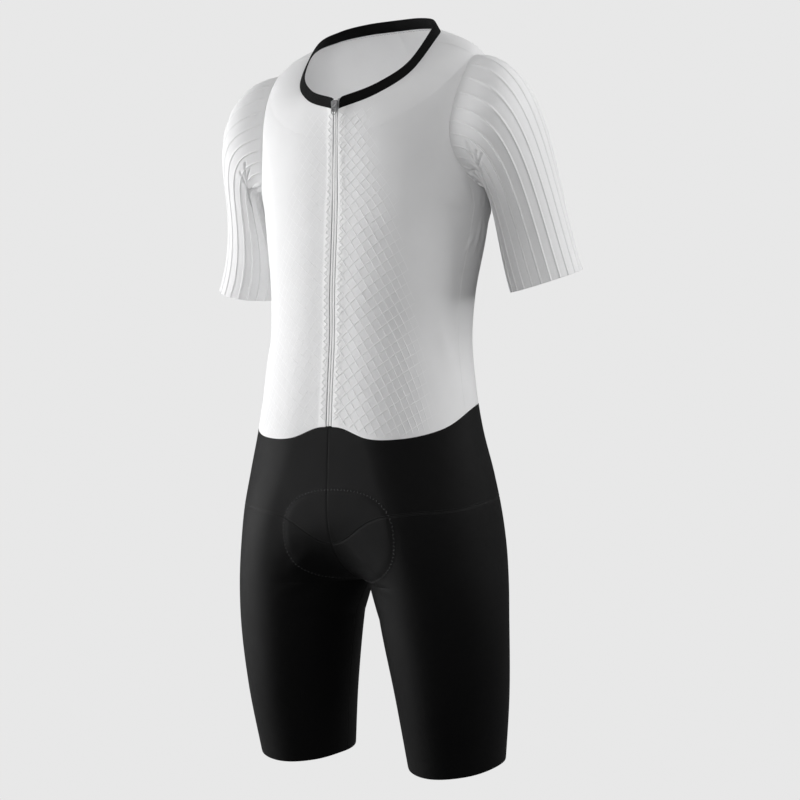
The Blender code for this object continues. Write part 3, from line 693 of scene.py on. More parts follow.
def shorts_shares():
    """Shares across the shorts, from centre front to the side seams and centre back."""
    first, last = FRONT_SIDE_SHARES[1], BACK_SIDE_SHARES[1]
    front = first * spaced(FRONT_COLUMNS, PANEL_WIDTH)
    side = first + (last - first) * spaced(SIDE_COLUMNS, SIDE_WIDTH)
    back = last + (1 - last) * spaced(BACK_COLUMNS, PANEL_WIDTH)
    return np.concatenate([front, side[1:], back[1:]])


def yoke_panel(share):
    """Shares and levels between the waist seam and the hip seam."""
    drop = spaced(YOKE_ROWS, YOKE_DEPTH)[:, None]
    waist = level_of(seam_height(share, "waist"))
    hip = level_of(seam_height(share, "hip"))
    return np.repeat(share[None], YOKE_ROWS, axis=0), waist + (hip - waist) * drop


def leg_panel(share):
    """Shares and levels of a leg, from the hip seam past the crotch to the hem."""
    hip = level_of(seam_height(share, "hip"))
    centre_depths = np.linspace(CROTCH_DEPTH, 0.0, CROTCH_ROWS)
    turned = (1 - centre_depths**2)**(1 / TURN_POWER)
    crotch_rows = TURN_UNDER_Z + turned * (CROTCH_Z - TURN_UNDER_Z)
    first = level_of(crotch_rows[0])
    blend = spaced(LEG_TOP_ROWS, LEG_TOP_DEPTH)[:-2, None]
    above = hip + (first - hip) * blend
    below = CROTCH_Z - ARCH_DROP * np.linspace(0, 1, CROTCH_ROWS)[1:]**2
    rows = level_of(np.concatenate([crotch_rows, below]))
    hem = level_of(seam_height(share, "hem"))
    leg_drop = spaced(LEG_ROWS, LEG_LENGTH)[3:, None]
    leg = rows[-1] + (hem - rows[-1]) * leg_drop
    level = np.concatenate([above, np.repeat(rows[:, None], len(share), axis=1), leg])
    return np.repeat(share[None], len(level), axis=0), level


def tube_normals(grid):
    """Unit normals of a closed tube of points, out of the tube."""
    wrapped = np.concatenate([grid[:, -1:], grid, grid[:, :1]], axis=1)
    normal = np.cross(np.gradient(wrapped, axis=1)[:, 1:-1], np.gradient(grid, axis=0))
    outward = grid - grid.mean(axis=1)[:, None]
    normal *= np.sign((normal * outward).sum())
    return normal / np.linalg.norm(normal, axis=2)[:, :, None]


def pull_in(grid):
    """The grid with its edges drawn back by half the seam gap."""
    grid = grid.copy()
    for turned, edge, inner in ((False, 0, 1), (False, -1, -2), (True, 0, 1), (True, -1, -2)):
        view = grid.transpose(1, 0, 2) if turned else grid
        step = view[inner] - view[edge]
        tangent = np.gradient(view[edge], axis=0)
        tangent /= np.maximum(np.linalg.norm(tangent, axis=1), 1e-9)[:, None]
        square = step - (step * tangent).sum(axis=1)[:, None] * tangent
        width = np.maximum(np.linalg.norm(square, axis=1), HALF_GAP * 2)
        view[edge] += step * (HALF_GAP / width)[:, None]
    return grid


def run_along(grid, axis):
    """Length walked along rows (axis 1) or columns (axis 0) of a grid, from its start."""
    steps = np.linalg.norm(np.diff(grid, axis=axis), axis=2)
    start = np.zeros_like(steps[:, :1] if axis == 1 else steps[:1])
    return np.concatenate([start, np.cumsum(steps, axis=axis)], axis=axis)


def seam_dip(grid, closed):
    """How far the cloth is drawn in beside its edges by the seams."""
    down = run_along(grid, 0)
    near = np.minimum(down, down[-1:] - down)
    if not closed:
        across = run_along(grid, 1)
        near = np.minimum(near, np.minimum(across, across[:, -1:] - across))
    return SEAM_DIP * (1 - np.minimum(near / SEAM_REACH, 1))**2


def finished_object(name, mesh, finish):
    """A new object at the origin with one finish."""
    mesh.materials.clear()
    mesh.materials.append(finish)
    made = bpy.data.objects.new(name, mesh)
    bpy.context.scene.collection.objects.link(made)
    return made


def shell(name, grid, normal, wall, finish, closed=False, lift=None, backing=None, slot=None):
    """A thin cloth shell on a grid of outer points, with its weave's directions as a UV map
    in metres, and how far a second layer backs it as an attribute."""
    rows, columns = grid.shape[:2]
    dip = seam_dip(grid, closed)
    lift = np.zeros((rows, columns)) if lift is None else lift
    outer = grid + normal * (lift - dip)[:, :, None]
    inner = grid + normal * (np.minimum(lift, 0) - wall)[:, :, None]
    chart_grid = np.concatenate([grid, grid[:, :1]], axis=1) if closed else grid
    chart_columns = chart_grid.shape[1]
    chart = np.stack([run_along(chart_grid, 1), run_along(chart_grid, 0)], axis=2)
    chart[..., 0] -= chart[..., 0].mean(axis=1)[:, None]
    chart = chart.reshape(-1, 2)

    count = rows * columns
    r, c = np.meshgrid(np.arange(rows - 1), np.arange(chart_columns - 1), indexing="ij")
    r, c = r.ravel(), c.ravel()
    after = (c + 1) % columns
    quads = np.stack([r * columns + c, r * columns + after,
                      (r + 1) * columns + after, (r + 1) * columns + c], axis=1)
    places = np.stack([r * chart_columns + c, r * chart_columns + c + 1,
                       (r + 1) * chart_columns + c + 1, (r + 1) * chart_columns + c], axis=1)
    faces = [quads, count + quads[:, ::-1]]
    charts = [places, places[:, ::-1]]

    def rim(at, beside, place_at, place_beside):
        faces.append(np.stack([beside, at, at + count, beside + count], axis=1))
        charts.append(np.stack([place_beside, place_at, place_at, place_beside], axis=1))

    k = np.arange(chart_columns - 1)
    last = (rows - 1) * columns
    rim(k, (k + 1) % columns, k, k + 1)
    rim(last + (k + 1) % columns, last + k, (rows - 1) * chart_columns + k + 1,
        (rows - 1) * chart_columns + k)
    if not closed:
        k = np.arange(rows - 1)
        rim((k + 1) * columns, k * columns, (k + 1) * columns, k * columns)
        end = columns - 1
        rim(k * columns + end, (k + 1) * columns + end, k * columns + end, (k + 1) * columns + end)

    mesh = bpy.data.meshes.new(name)
    faces = np.concatenate(faces)
    charts = np.concatenate(charts)
    points = np.concatenate([outer.reshape(-1, 3), inner.reshape(-1, 3)])
    mesh.from_pydata(points.tolist(), [], faces.tolist())
    layer = mesh.uv_layers.new(name="weave")
    layer.data.foreach_set("uv", chart[charts.ravel()].astype(np.float32).ravel())
    backed = mesh.attributes.new("backing", "FLOAT", "POINT")
    value = np.zeros(count) if backing is None else backing.ravel()
    backed.data.foreach_set("value", np.concatenate([value, value]).astype(np.float32))
    form = bmesh.new()
    form.from_mesh(mesh)
    bmesh.ops.recalc_face_normals(form, faces=form.faces)
    form.to_mesh(mesh)
    form.free()
    mesh.shade_smooth()
    mesh.set_sharp_from_angle(angle=math.radians(SHARP_EDGE))
    made = finished_object(name, mesh, finish)
    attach(made, "garment")
    return made


# Materials

def blank_finish(name):
    """A new node material and its shader."""
    made = bpy.data.materials.new(name)
    made.use_nodes = True
    tree = made.node_tree
    return made, tree, tree.nodes["Principled BSDF"]


def math_node(tree, operation, first, second=None):
    """A Math node on sockets or plain values."""
    node = tree.nodes.new("ShaderNodeMath")
    node.operation = operation
    for socket, value in zip(node.inputs, (first, second)):
        if value is None:
            continue
        if hasattr(value, "links"):
            tree.links.new(value, socket)
        else:
            socket.default_value = value
    return node.outputs[0]


def bands(tree, source, pitch):
    """Soft bands of a pitch along a coordinate, from 0 to 1."""
    wave = math_node(tree, "SINE", math_node(tree, "MULTIPLY", source, 2 * math.pi / pitch))
    return math_node(tree, "ADD", math_node(tree, "MULTIPLY", wave, 0.5), 0.5)


def noise(tree, vector, scale, detail=3.0):
    """A noise texture's value."""
    node = tree.nodes.new("ShaderNodeTexNoise")
    node.inputs["Scale"].default_value = scale
    node.inputs["Detail"].default_value = detail
    tree.links.new(vector, node.inputs["Vector"])
    return node.outputs["Fac"]


def mixed(tree, value, low, high):
    """A colour between two, each a socket or a plain colour, as a value goes from 0 to 1."""
    node = tree.nodes.new("ShaderNodeMix")
    node.data_type = "RGBA"
    tree.links.new(value, node.inputs["Factor"])
    for socket, colour in ((node.inputs[6], low), (node.inputs[7], high)):
        if hasattr(colour, "links"):
            tree.links.new(colour, socket)
        else:
            socket.default_value = (*colour, 1.0)
    return node.outputs[2]


def roughen(tree, shader, value, low, high):
    """Roughness between two amounts as a value goes from 0 to 1."""
    node = tree.nodes.new("ShaderNodeMapRange")
    node.inputs["To Min"].default_value = low
    node.inputs["To Max"].default_value = high
    tree.links.new(value, node.inputs["Value"])
    tree.links.new(node.outputs["Result"], shader.inputs["Roughness"])


def relieve(tree, shader, height, strength, distance):
    """A fine relief on the surface."""
    node = tree.nodes.new("ShaderNodeBump")
    node.inputs["Strength"].default_value = strength
    node.inputs["Distance"].default_value = distance
    tree.links.new(height, node.inputs["Height"])
    tree.links.new(node.outputs["Normal"], shader.inputs["Normal"])


def knit_finish(name, low, high, wale, course, relief, roughness, sheen, sheen_roughness,
                shine=0.5, backed=None):
    """A knitted cloth: wales across and courses down on its UV map, a faint unevenness of
    colour, and where given a whiter tone where a second layer backs it, which is partly
    painted shade: the single layer is left greyer for the dark inside showing through it."""
    made, tree, shader = blank_finish(name)
    weave = tree.nodes.new("ShaderNodeUVMap")
    weave.uv_map = "weave"
    split = tree.nodes.new("ShaderNodeSeparateXYZ")
    tree.links.new(weave.outputs["UV"], split.inputs[0])
    place = tree.nodes.new("ShaderNodeTexCoord").outputs["Object"]
    wales = bands(tree, split.outputs["X"], wale)
    courses = bands(tree, split.outputs["Y"], course)
    loops = math_node(tree, "MULTIPLY", wales, math_node(tree, "ADD", courses, LOOP_FLOOR))
    uneven = noise(tree, place, UNEVEN_SCALE)
    fuzz = noise(tree, place, FUZZ_SCALE, FUZZ_DETAIL)
    tone = math_node(tree, "ADD", math_node(tree, "MULTIPLY", uneven, UNEVEN_SHARE),
                     math_node(tree, "MULTIPLY", loops, LOOP_SHARE))
    colour = mixed(tree, tone, low, high)
    # Painted shade in part: the backed strip is whiter and the single layer greyer, standing for the dark
    # inside showing through the thin mesh
    if backed is not None:
        attribute = tree.nodes.new("ShaderNodeAttribute")
        attribute.attribute_name = "backing"
        colour = mixed(tree, attribute.outputs["Fac"], colour, backed)
    tree.links.new(colour, shader.inputs["Base Color"])
    roughen(tree, shader, uneven, roughness - KNIT_ROUGH_BELOW, roughness + KNIT_ROUGH_ABOVE)
    shader.inputs["Specular IOR Level"].default_value = shine
    shader.inputs["Sheen Weight"].default_value = sheen
    shader.inputs["Sheen Roughness"].default_value = sheen_roughness
    height = math_node(tree, "ADD", loops, math_node(tree, "MULTIPLY", fuzz, FUZZ_SHARE))
    relieve(tree, shader, height, KNIT_RELIEF, relief)
    return made


def thread_finish(name, low, high, roughness):
    """Sewing thread or moulded coil, with a fine unevenness."""
    made, tree, shader = blank_finish(name)
    place = tree.nodes.new("ShaderNodeTexCoord").outputs["Object"]
    grain = noise(tree, place, THREAD_GRAIN)
    tree.links.new(mixed(tree, grain, low, high), shader.inputs["Base Color"])
    shader.inputs["Roughness"].default_value = roughness
    relieve(tree, shader, grain, *THREAD_RELIEF)
    return made


def metal_finish():
    """Satin die-cast metal with faint wear."""
    made, tree, shader = blank_finish("satin_zip_metal")
    place = tree.nodes.new("ShaderNodeTexCoord").outputs["Object"]
    wear = noise(tree, place, WEAR_SCALE, WEAR_DETAIL)
    colour = mixed(tree, wear, (0.30, 0.30, 0.305), (0.72, 0.72, 0.73))
    tree.links.new(colour, shader.inputs["Base Color"])
    roughen(tree, shader, wear, *METAL_ROUGH)
    shader.inputs["Metallic"].default_value = 1.0
    return made


# Geometry node trees

def geometry_tree(name, sizes):
    """An empty tree with a geometry, named sizes and a finish as its inputs."""
    tree = bpy.data.node_groups.new(name, "GeometryNodeTree")
    tree.interface.new_socket("Geometry", in_out="INPUT", socket_type="NodeSocketGeometry")
    for label in sizes:
        tree.interface.new_socket(label, in_out="INPUT", socket_type="NodeSocketFloat")
    tree.interface.new_socket("Finish", in_out="INPUT", socket_type="NodeSocketMaterial")
    tree.interface.new_socket("Geometry", in_out="OUTPUT", socket_type="NodeSocketGeometry")
    return tree, tree.nodes.new("NodeGroupInput"), tree.nodes.new("NodeGroupOutput")


def end_tree(tree, start, last, geometry):
    """Realizes the instances, shades them smooth and gives them their finish."""
    realize = tree.nodes.new("GeometryNodeRealizeInstances")
    shade = tree.nodes.new("GeometryNodeSetShadeSmooth")
    paint = tree.nodes.new("GeometryNodeSetMaterial")
    tree.links.new(geometry, realize.inputs["Geometry"])
    tree.links.new(realize.outputs["Geometry"], shade.inputs["Geometry"])
    tree.links.new(shade.outputs["Geometry"], paint.inputs["Geometry"])
    tree.links.new(start.outputs["Finish"], paint.inputs["Material"])
    tree.links.new(paint.outputs["Geometry"], last.inputs["Geometry"])


def named_vector(tree, name):
    """A vector attribute of the points."""
    node = tree.nodes.new("GeometryNodeInputNamedAttribute")
    node.data_type = "FLOAT_VECTOR"
    node.inputs["Name"].default_value = name
    return node.outputs["Attribute"]


def stitch_tree():
    """A small lens-shaped stitch on every point, along its row, every other one turned the
    other way."""
    tree, start, last = geometry_tree("stitch_row", ("Length", "Width", "Swing"))
    links = tree.links
    bead = tree.nodes.new("GeometryNodeMeshUVSphere")
    bead.inputs["Segments"].default_value = BEAD_SEGMENTS
    bead.inputs["Rings"].default_value = BEAD_RINGS
    bead.inputs["Radius"].default_value = 0.5
    size = tree.nodes.new("ShaderNodeCombineXYZ")
    links.new(start.outputs["Length"], size.inputs["X"])
    links.new(start.outputs["Width"], size.inputs["Y"])
    links.new(start.outputs["Width"], size.inputs["Z"])
    stretch = tree.nodes.new("GeometryNodeTransform")
    links.new(bead.outputs["Mesh"], stretch.inputs["Geometry"])
    links.new(size.outputs["Vector"], stretch.inputs["Scale"])
    aim = tree.nodes.new("FunctionNodeAxesToRotation")
    aim.primary_axis = "Z"
    aim.secondary_axis = "X"
    links.new(named_vector(tree, "out"), aim.inputs[0])
    links.new(named_vector(tree, "along"), aim.inputs[1])
    index = tree.nodes.new("GeometryNodeInputIndex")
    odd = math_node(tree, "MODULO", index.outputs[0], 2.0)
    sign = math_node(tree, "SUBTRACT", math_node(tree, "MULTIPLY", odd, 2.0), 1.0)
    swing = tree.nodes.new("FunctionNodeAxisAngleToRotation")
    swing.inputs["Axis"].default_value = (0, 0, 1)
    links.new(math_node(tree, "MULTIPLY", sign, start.outputs["Swing"]), swing.inputs["Angle"])
    turn = tree.nodes.new("FunctionNodeRotateRotation")
    turn.rotation_space = "LOCAL"
    links.new(aim.outputs[0], turn.inputs[0])
    links.new(swing.outputs[0], turn.inputs[1])
    place = tree.nodes.new("GeometryNodeInstanceOnPoints")
    links.new(start.outputs["Geometry"], place.inputs["Points"])
    links.new(stretch.outputs["Geometry"], place.inputs["Instance"])
    links.new(turn.outputs[0], place.inputs["Rotation"])
    end_tree(tree, start, last, place.outputs["Instances"])
    return tree


def line_tree():
    """A round bead swept along every run of edges."""
    tree, start, last = geometry_tree("raised_line", ("Radius",))
    links = tree.links
    path = tree.nodes.new("GeometryNodeMeshToCurve")
    ring = tree.nodes.new("GeometryNodeCurvePrimitiveCircle")
    ring.inputs["Resolution"].default_value = LINE_SIDES
    sweep = tree.nodes.new("GeometryNodeCurveToMesh")
    sweep.inputs["Fill Caps"].default_value = True
    links.new(start.outputs["Geometry"], path.inputs["Mesh"])
    links.new(start.outputs["Radius"], ring.inputs["Radius"])
    links.new(path.outputs["Curve"], sweep.inputs["Curve"])
    links.new(ring.outputs["Curve"], sweep.inputs["Profile Curve"])
    end_tree(tree, start, last, sweep.outputs["Mesh"])
    return tree


def grown(name, mesh, tree, sizes, finish):
    """A piece grown from a mesh by a node tree, as a plain mesh that rides on the garment."""
    made = finished_object(name, mesh, finish)
    modifier = made.modifiers.new(tree.name, "NODES")
    modifier.node_group = tree
    sockets = {item.name: item.identifier for item in tree.interface.items_tree if item.in_out == "INPUT"}
    for label, value in {**sizes, "Finish": finish}.items():
        modifier[sockets[label]] = value
    bpy.context.view_layer.update()
    evaluated = made.evaluated_get(bpy.context.evaluated_depsgraph_get())
    result = bpy.data.meshes.new_from_object(evaluated)
    made.modifiers.clear()
    made.data = result
    result.name = name
    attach(made, "garment")
    return made


def point_mesh(name, rows):
    """A mesh of loose points that know which way their row runs and which way is out.
    Each row is points, directions along and directions out."""
    points, along, out = (np.concatenate([row[k] for row in rows]) for k in range(3))
    mesh = bpy.data.meshes.new(name)
    mesh.from_pydata(points.tolist(), [], [])
    for label, value in (("along", along), ("out", out)):
        attribute = mesh.attributes.new(label, "FLOAT_VECTOR", "POINT")
        attribute.data.foreach_set("vector", value.astype(np.float32).ravel())
    return mesh


def edge_mesh(name, lines):
    """A mesh of runs of edges, one for each line of points."""
    points = np.concatenate(lines)
    edges, first = [], 0
    for line in lines:
        edges += [(first + k, first + k + 1) for k in range(len(line) - 1)]
        first += len(line)
    mesh = bpy.data.meshes.new(name)
    mesh.from_pydata(points.tolist(), edges, [])
    return mesh


def row_on_points(points, normals, spacing):
    """Even places along a line of points, with the way along and the way out there."""
    run = line_run(points)
    count = max(int(run[-1] / spacing), 2)
    at = (np.arange(count) + 0.5) * run[-1] / count
    place = resampled(at, run, points)
    out = resampled(at, run, normals)
    along = np.gradient(place, axis=0)
    return (place, along / np.linalg.norm(along, axis=1)[:, None],
            out / np.linalg.norm(out, axis=1)[:, None])


def row_on_skin(share, level, side, spacing, lift, offset=0.0):
    """A row of stitches on the garment along shares and levels, moved sideways and out."""
    points, normals = skin_wall(share, level, side)
    along = np.gradient(points, axis=0)
    along /= np.maximum(np.linalg.norm(along, axis=1), 1e-9)[:, None]
    sideways = np.cross(normals, along)
    return row_on_points(points + sideways * offset + normals * lift, normals, spacing)


# The pieces

def panel(name, share, level, side, finish, slot, **more):
    """A panel of one half of the suit as a thin shell, drawn back from its seams."""
    grid, normal = skin_wall(share, level, side)
    return shell(name, pull_in(grid), normal, WALL, finish, slot=slot, **more)


def centre_panel(name, share, level, end, finish, slot):
    """A panel that crosses the centre line."""
    grid, normal = mirrored(share, level, end)
    return shell(name, pull_in(grid), normal, WALL, finish, slot=slot)


def add_cloth(white, ribbed, black, band):
    """Every panel as a thin shell on its solid's form."""
    made = {}
    for side, word in SIDES:
        share, level = upper_panel(True, ZIP_EDGE, FRONT_COLUMNS)
        backing = eased((PLACKET_EDGE - share * girth(level)) / PLACKET_BLEND)
        made["front_" + word] = panel("front_panel_" + word, share, level, side, white, "white_knit",
                                      lift=backing * PLACKET_LIFT, backing=backing)
        made["side_" + word] = panel("side_panel_" + word, *side_panel(SIDE_COLUMNS), side, white,
                                     "white_knit")
        made["yoke_front_" + word] = panel(
            "shorts_front_" + word, *yoke_panel(shorts_shares()[:FRONT_COLUMNS + SIDE_COLUMNS - 1]),
            side, black, "black_knit")
        made["leg_" + word] = panel("shorts_leg_" + word, *leg_panel(shorts_shares()), side, black,
                                    "black_knit")
        made["sleeve_" + word] = add_sleeve(side, word, ribbed)
    made["back"] = centre_panel("back_panel", *upper_panel(False, 0.0, BACK_COLUMNS), 0, white,
                                "white_knit")
    made["yoke_back"] = centre_panel(
        "shorts_back", *yoke_panel(shorts_shares()[FRONT_COLUMNS + SIDE_COLUMNS - 2:]), -1, black,
        "black_knit")
    made["neck_band"] = add_neck_band(band)
    return made


def add_neck_band(finish):
    """The strip round the neck, its free corners rounded beside the zip."""
    front = spaced(FRONT_COLUMNS, BAND_FRONT_LENGTH) * ARMHOLE_SHARE
    back = np.linspace(ARMHOLE_SHARE, 1, BACK_COLUMNS)[1:]
    share = np.concatenate([front, back])
    around = float(girth(0.0))
    start = BAND_END / around
    share = start + share * (1 - start)
    from_end = (share - start) * around
    corner = 1 - np.sqrt(1 - np.clip((BAND_CORNER - from_end) / BAND_CORNER, 0, 0.999)**2)
    top = -1 + corner * BAND_CORNER / BAND_WIDTH
    drop = spaced(BAND_ROWS, BAND_WIDTH)[:, None]
    grid, normal = mirrored(share[None] + 0 * drop, top * (1 - drop), -1)
    return shell("neck_band_cloth", pull_in(grid), normal, BAND_WALL, finish, slot="black_band")


def sleeve_grid(side, turns, rows):
    """Outer points of a sleeve, armhole to hem, without its ribs."""
    share, level = armhole_at(turns)
    start = skin(share, level)
    middle = start.mean(axis=0)
    spread = (start[:, 1] - middle[1]) / np.abs(start[:, 1] - middle[1]).max()
    angle = np.radians(turns)[:, None]
    top = (1 + np.cos(angle)) / 2
    leave = np.column_stack([np.ones(len(turns)), spread * CAP_SPREAD - top[:, 0] * CAP_LEAN,
                             -top[:, 0] * CAP_DROOP])
    leave /= np.linalg.norm(leave, axis=1)[:, None]
    run = np.array(HEM_FACING) / np.linalg.norm(HEM_FACING)
    forward = np.array([0, -1.0, 0])
    forward -= run * forward.dot(run)
    forward /= np.linalg.norm(forward)
    outward = np.cross(run, forward)
    outward *= np.sign(outward[0])
    hem = (np.array(SLEEVE_HEM) + outward * np.cos(angle) * HEM_HALF_WIDTH
           + forward * np.sin(angle) * HEM_HALF_DEPTH)
    cap_reach = CAP_REACH_UNDER + (CAP_REACH_TOP - CAP_REACH_UNDER) * top
    start = start + leave * ARMHOLE_GAP
    first = start + leave * cap_reach
    lead = np.array(CUFF_LEAD) / np.linalg.norm(CUFF_LEAD)
    second = hem - lead * CUFF_REACH * (CUFF_REACH_UNDER + (1 - CUFF_REACH_UNDER) * top)
    w = rows[:, None, None]
    grid = ((1 - w)**3 * start + 3 * (1 - w)**2 * w * first
            + 3 * (1 - w) * w**2 * second + w**3 * hem)
    return grid * np.array([side, 1, 1])


def gather_depth(side, turns, rows):
    """How deep the gathered creases of the underarm sink the sleeve."""
    across, down = np.meshgrid(turns * TURN_LENGTH, rows * RUN_LENGTH)
    depth = np.zeros(across.shape)
    for crease in rows_on(side, GATHER_COLUMNS, GATHERS):
        start = np.array([crease["turn"] * TURN_LENGTH, crease["run"] * RUN_LENGTH])
        span = np.array([crease["end_turn"] * TURN_LENGTH, crease["end_run"] * RUN_LENGTH]) - start
        along = ((across - start[0]) * span[0] + (down - start[1]) * span[1]) / span.dot(span)
        along = np.clip(along, 0, 1)
        away = np.hypot(across - start[0] - along * span[0], down - start[1] - along * span[1])
        depth = np.maximum(depth, crease["depth"] * np.exp(-(away / crease["half_width"])**2))
    return depth


def add_sleeve(side, word, finish):
    """A sleeve with raised ribs from armhole to hem and wrinkles under the arm."""
    fine = np.interp(np.arange(UNDER_FINENESS * len(RIB_PLACES)) / UNDER_FINENESS,
                     np.arange(len(RIB_PLACES) + 1), (*RIB_PLACES, 1.0))
    turns = []
    for rib in range(RIB_COUNT):
        places = fine if UNDER_RIBS[0] <= rib <= UNDER_RIBS[1] else RIB_PLACES
        turns += [(rib + place) * 360 / RIB_COUNT for place in places]
    turns = np.array(turns)
    rows = spaced(SLEEVE_ROWS, SLEEVE_LENGTH)
    rows = rows * (CLOSE_ROWS + (1 - CLOSE_ROWS) * rows)
    grid = sleeve_grid(side, turns, rows)
    normal = tube_normals(grid)
    phase = (turns / 360 * RIB_COUNT) % 1.0
    off = np.abs(phase - RIB_CENTRE) / RIB_HALF_WIDTH
    rib = RIB_HEIGHT * np.where(off < 1, (1 + np.cos(np.pi * np.minimum(off, 1))) / 2, 0)
    lift = rib[None] * eased(rows * RIB_STARTS)[:, None]
    for wrinkle in rows_on(side, WRINKLE_COLUMNS, WRINKLES):
        off = (turns - wrinkle["turn"]) / wrinkle["half_turn"]
        reach = eased(rows / WRINKLE_START) * eased(1 - rows / wrinkle["run"])
        lift = lift + wrinkle["height"] * (reach[:, None] * ridge(off)[None])
    lift = lift - gather_depth(side, turns, rows)
    return shell("ribbed_sleeve_" + word, grid, normal, WALL, finish, closed=True, lift=lift,
                 slot="ribbed_knit")


def zip_levels(count):
    """Levels down the zip, from the neck band's free edge to the waist seam."""
    bottom = level_of(WAIST_FRONT_Z) - ZIP_FOOT_GAP
    return np.concatenate([ZIP_BAND_LEVELS, np.linspace(1, bottom, count)])


def zip_strip(name, across, level, side, sunk, wall, finish, slot):
    """A long strip beside the zip's centre line, at widths across from it."""
    share = across[None] / girth(level)[:, None]
    grid, normal = skin_wall(share, level[:, None] + 0 * share, side)
    return shell(name, grid - normal * sunk, normal, wall, finish, slot=slot)


def add_zip(tape_painted_shade_finish, coil_finish, teeth):
    """The zip's two tapes, its two coil rows and the teeth along them."""
    made = {}
    level = zip_levels(ZIP_ROWS)
    tape_across = TAPE_INNER + (TAPE_OUTER - TAPE_INNER) * spaced(TAPE_COLUMNS, TAPE_OUTER - TAPE_INNER)
    coil_across = COIL_INNER + (COIL_OUTER - COIL_INNER) * np.linspace(0, 1, COIL_COLUMNS)
    for side, word in SIDES:
        # The tapes take a grey finish, painted shade for the gaps beside the coil
        made["zip_tape_" + word] = zip_strip("woven_tape_" + word, tape_across, level, side,
                                             BAND_WALL + 2 * HALF_GAP, TAPE_WALL, tape_painted_shade_finish, "zip_tape")
        made["coil_row_" + word] = zip_strip("coil_row_" + word, coil_across, level, side,
                                             COIL_SUNK, COIL_WALL, coil_finish, "zip_coil")
    dense = np.concatenate([np.linspace(ZIP_TOP_LEVEL, 1, TOOTH_LINE_POINTS[0])[:-1],
                            np.linspace(1, level[-1], TOOTH_LINE_POINTS[1])])
    rows = []
    for side in (1, -1):
        share = (COIL_INNER + COIL_OUTER) / 2 / girth(dense)
        points, normals = skin_wall(share, dense, side)
        place, along, out = row_on_points(points - normals * TOOTH_SUNK, normals, TOOTH_PITCH)
        if side == -1:
            place = place + along * TOOTH_PITCH / 2
        rows.append((place, np.cross(out, along), out))
    made["zip_chain"] = grown("zip_teeth", point_mesh("zip_teeth", rows), teeth,
                              {"Length": TOOTH_LENGTH, "Width": TOOTH_WIDTH, "Swing": 0.0},
                              coil_finish)
    return made


def chart_to_skin(across, down):
    """Share and level of a place on a front given across from the centre and down from
    the chest line."""
    level = np.where(down < 0, 1 + down / UPPER_RUN, 1 + down)
    return across / girth(level), level


def lattice_lines(side):
    """Both families of raised lines on one front, sunk out of sight where they fade."""
    xs = np.arange(ZIP_EDGE + LATTICE_STEP, LATTICE_REACH, LATTICE_STEP)
    t = np.clip(xs / LATTICE_TURN_OVER, 0, LATTICE_TURN_MOST)
    lines = []
    waist = level_of(seam_height(LATTICE_WAIST_SHARE, "waist")) - 1
    for family, slopes in (("steep", LATTICE_STEEP), ("rise", LATTICE_RISE)):
        near, far = (math.radians(slope) for slope in slopes)
        angle = near + (far - near) * t
        climb = np.cumsum(np.tan(angle)) * (xs[1] - xs[0])
        fall = climb if family == "steep" else -climb
        gap = LATTICE_PITCH / math.cos(near)
        for k in range(-LATTICE_RUNS, LATTICE_RUNS):
            down = k * gap + fall
            share, level = chart_to_skin(xs, down)
            z = skin(share, level)[:, 2]
            bottom = level_of(seam_height(share, "waist")) - LATTICE_FOOT_GAP
            wide = LATTICE_WIDE_TOP + LATTICE_WIDE_SLOPE * (LATTICE_TOP_Z - z)
            keep = ((level > LATTICE_TOP_LEVEL) & (level < bottom) & (xs < wide)
                    & (down > -UPPER_RUN) & (down < waist + LATTICE_PAST_WAIST))
            if keep.sum() < LATTICE_FEWEST:
                continue
            share, level, wide = share[keep], level[keep], wide[keep]
            across = xs[keep]
            points, normals = skin_wall(share, level, side)
            fade = eased((wide - across) / LATTICE_FADE)
            ends = np.minimum(eased((level - LATTICE_TOP_LEVEL) * LATTICE_ENDS[0]),
                              eased((bottom[keep] - level) * LATTICE_ENDS[1]))
            turn = across * LATTICE_BREAK_TURNS[0] + k * LATTICE_BREAK_TURNS[1]
            broken = 1 - LATTICE_BROKEN + LATTICE_BROKEN * np.sin(turn)
            backed = PLACKET_LIFT * eased((PLACKET_EDGE - across) / PLACKET_BLEND)
            height = LINE_HEIGHT * LATTICE_STRENGTH[side] * fade * ends * broken + backed
            points = points - normals * (LINE_RADIUS - height)[:, None]
            run = line_run(points)
            count = max(int(run[-1] / LINE_STEP), 3)
            at = np.linspace(0, run[-1], count)
            lines.append(resampled(at, run, points))
    return lines


def placket_lines(side):
    """A raised zigzag down the placket strip beside the zip."""
    level = np.linspace(PLACKET_TOP_LEVEL, level_of(WAIST_FRONT_Z) - PLACKET_FOOT_GAP, PLACKET_POINTS)
    run = line_run(skin(np.full(len(level), PLACKET_SHARE), level))
    corners = np.interp(np.arange(0, run[-1], PLACKET_PITCH), run, level)
    across = np.where(np.arange(len(corners)) % 2 == 0, *PLACKET_SWING)
    share = across / girth(corners)
    dense = np.linspace(0, len(corners) - 1, 3 * len(corners))
    share = np.interp(dense, np.arange(len(corners)), share)
    level = np.interp(dense, np.arange(len(corners)), corners)
    points, normals = skin_wall(share, level, side)
    return [points + normals * (PLACKET_LIFT + LINE_HEIGHT - LINE_RADIUS)]


def add_lines(raised, line):
    """The lattice and the placket zigzags of both fronts."""
    made = {}
    for side, word in SIDES:
        for name, node, lines, radius in (
                ("lattice_", "raised_lattice_", lattice_lines(side), LINE_RADIUS),
                ("placket_", "placket_zigzag_", placket_lines(side), PLACKET_RADIUS)):
            made[name + word] = grown(node + word, edge_mesh(name + word, lines), line,
                                      {"Radius": radius}, raised)
    return made


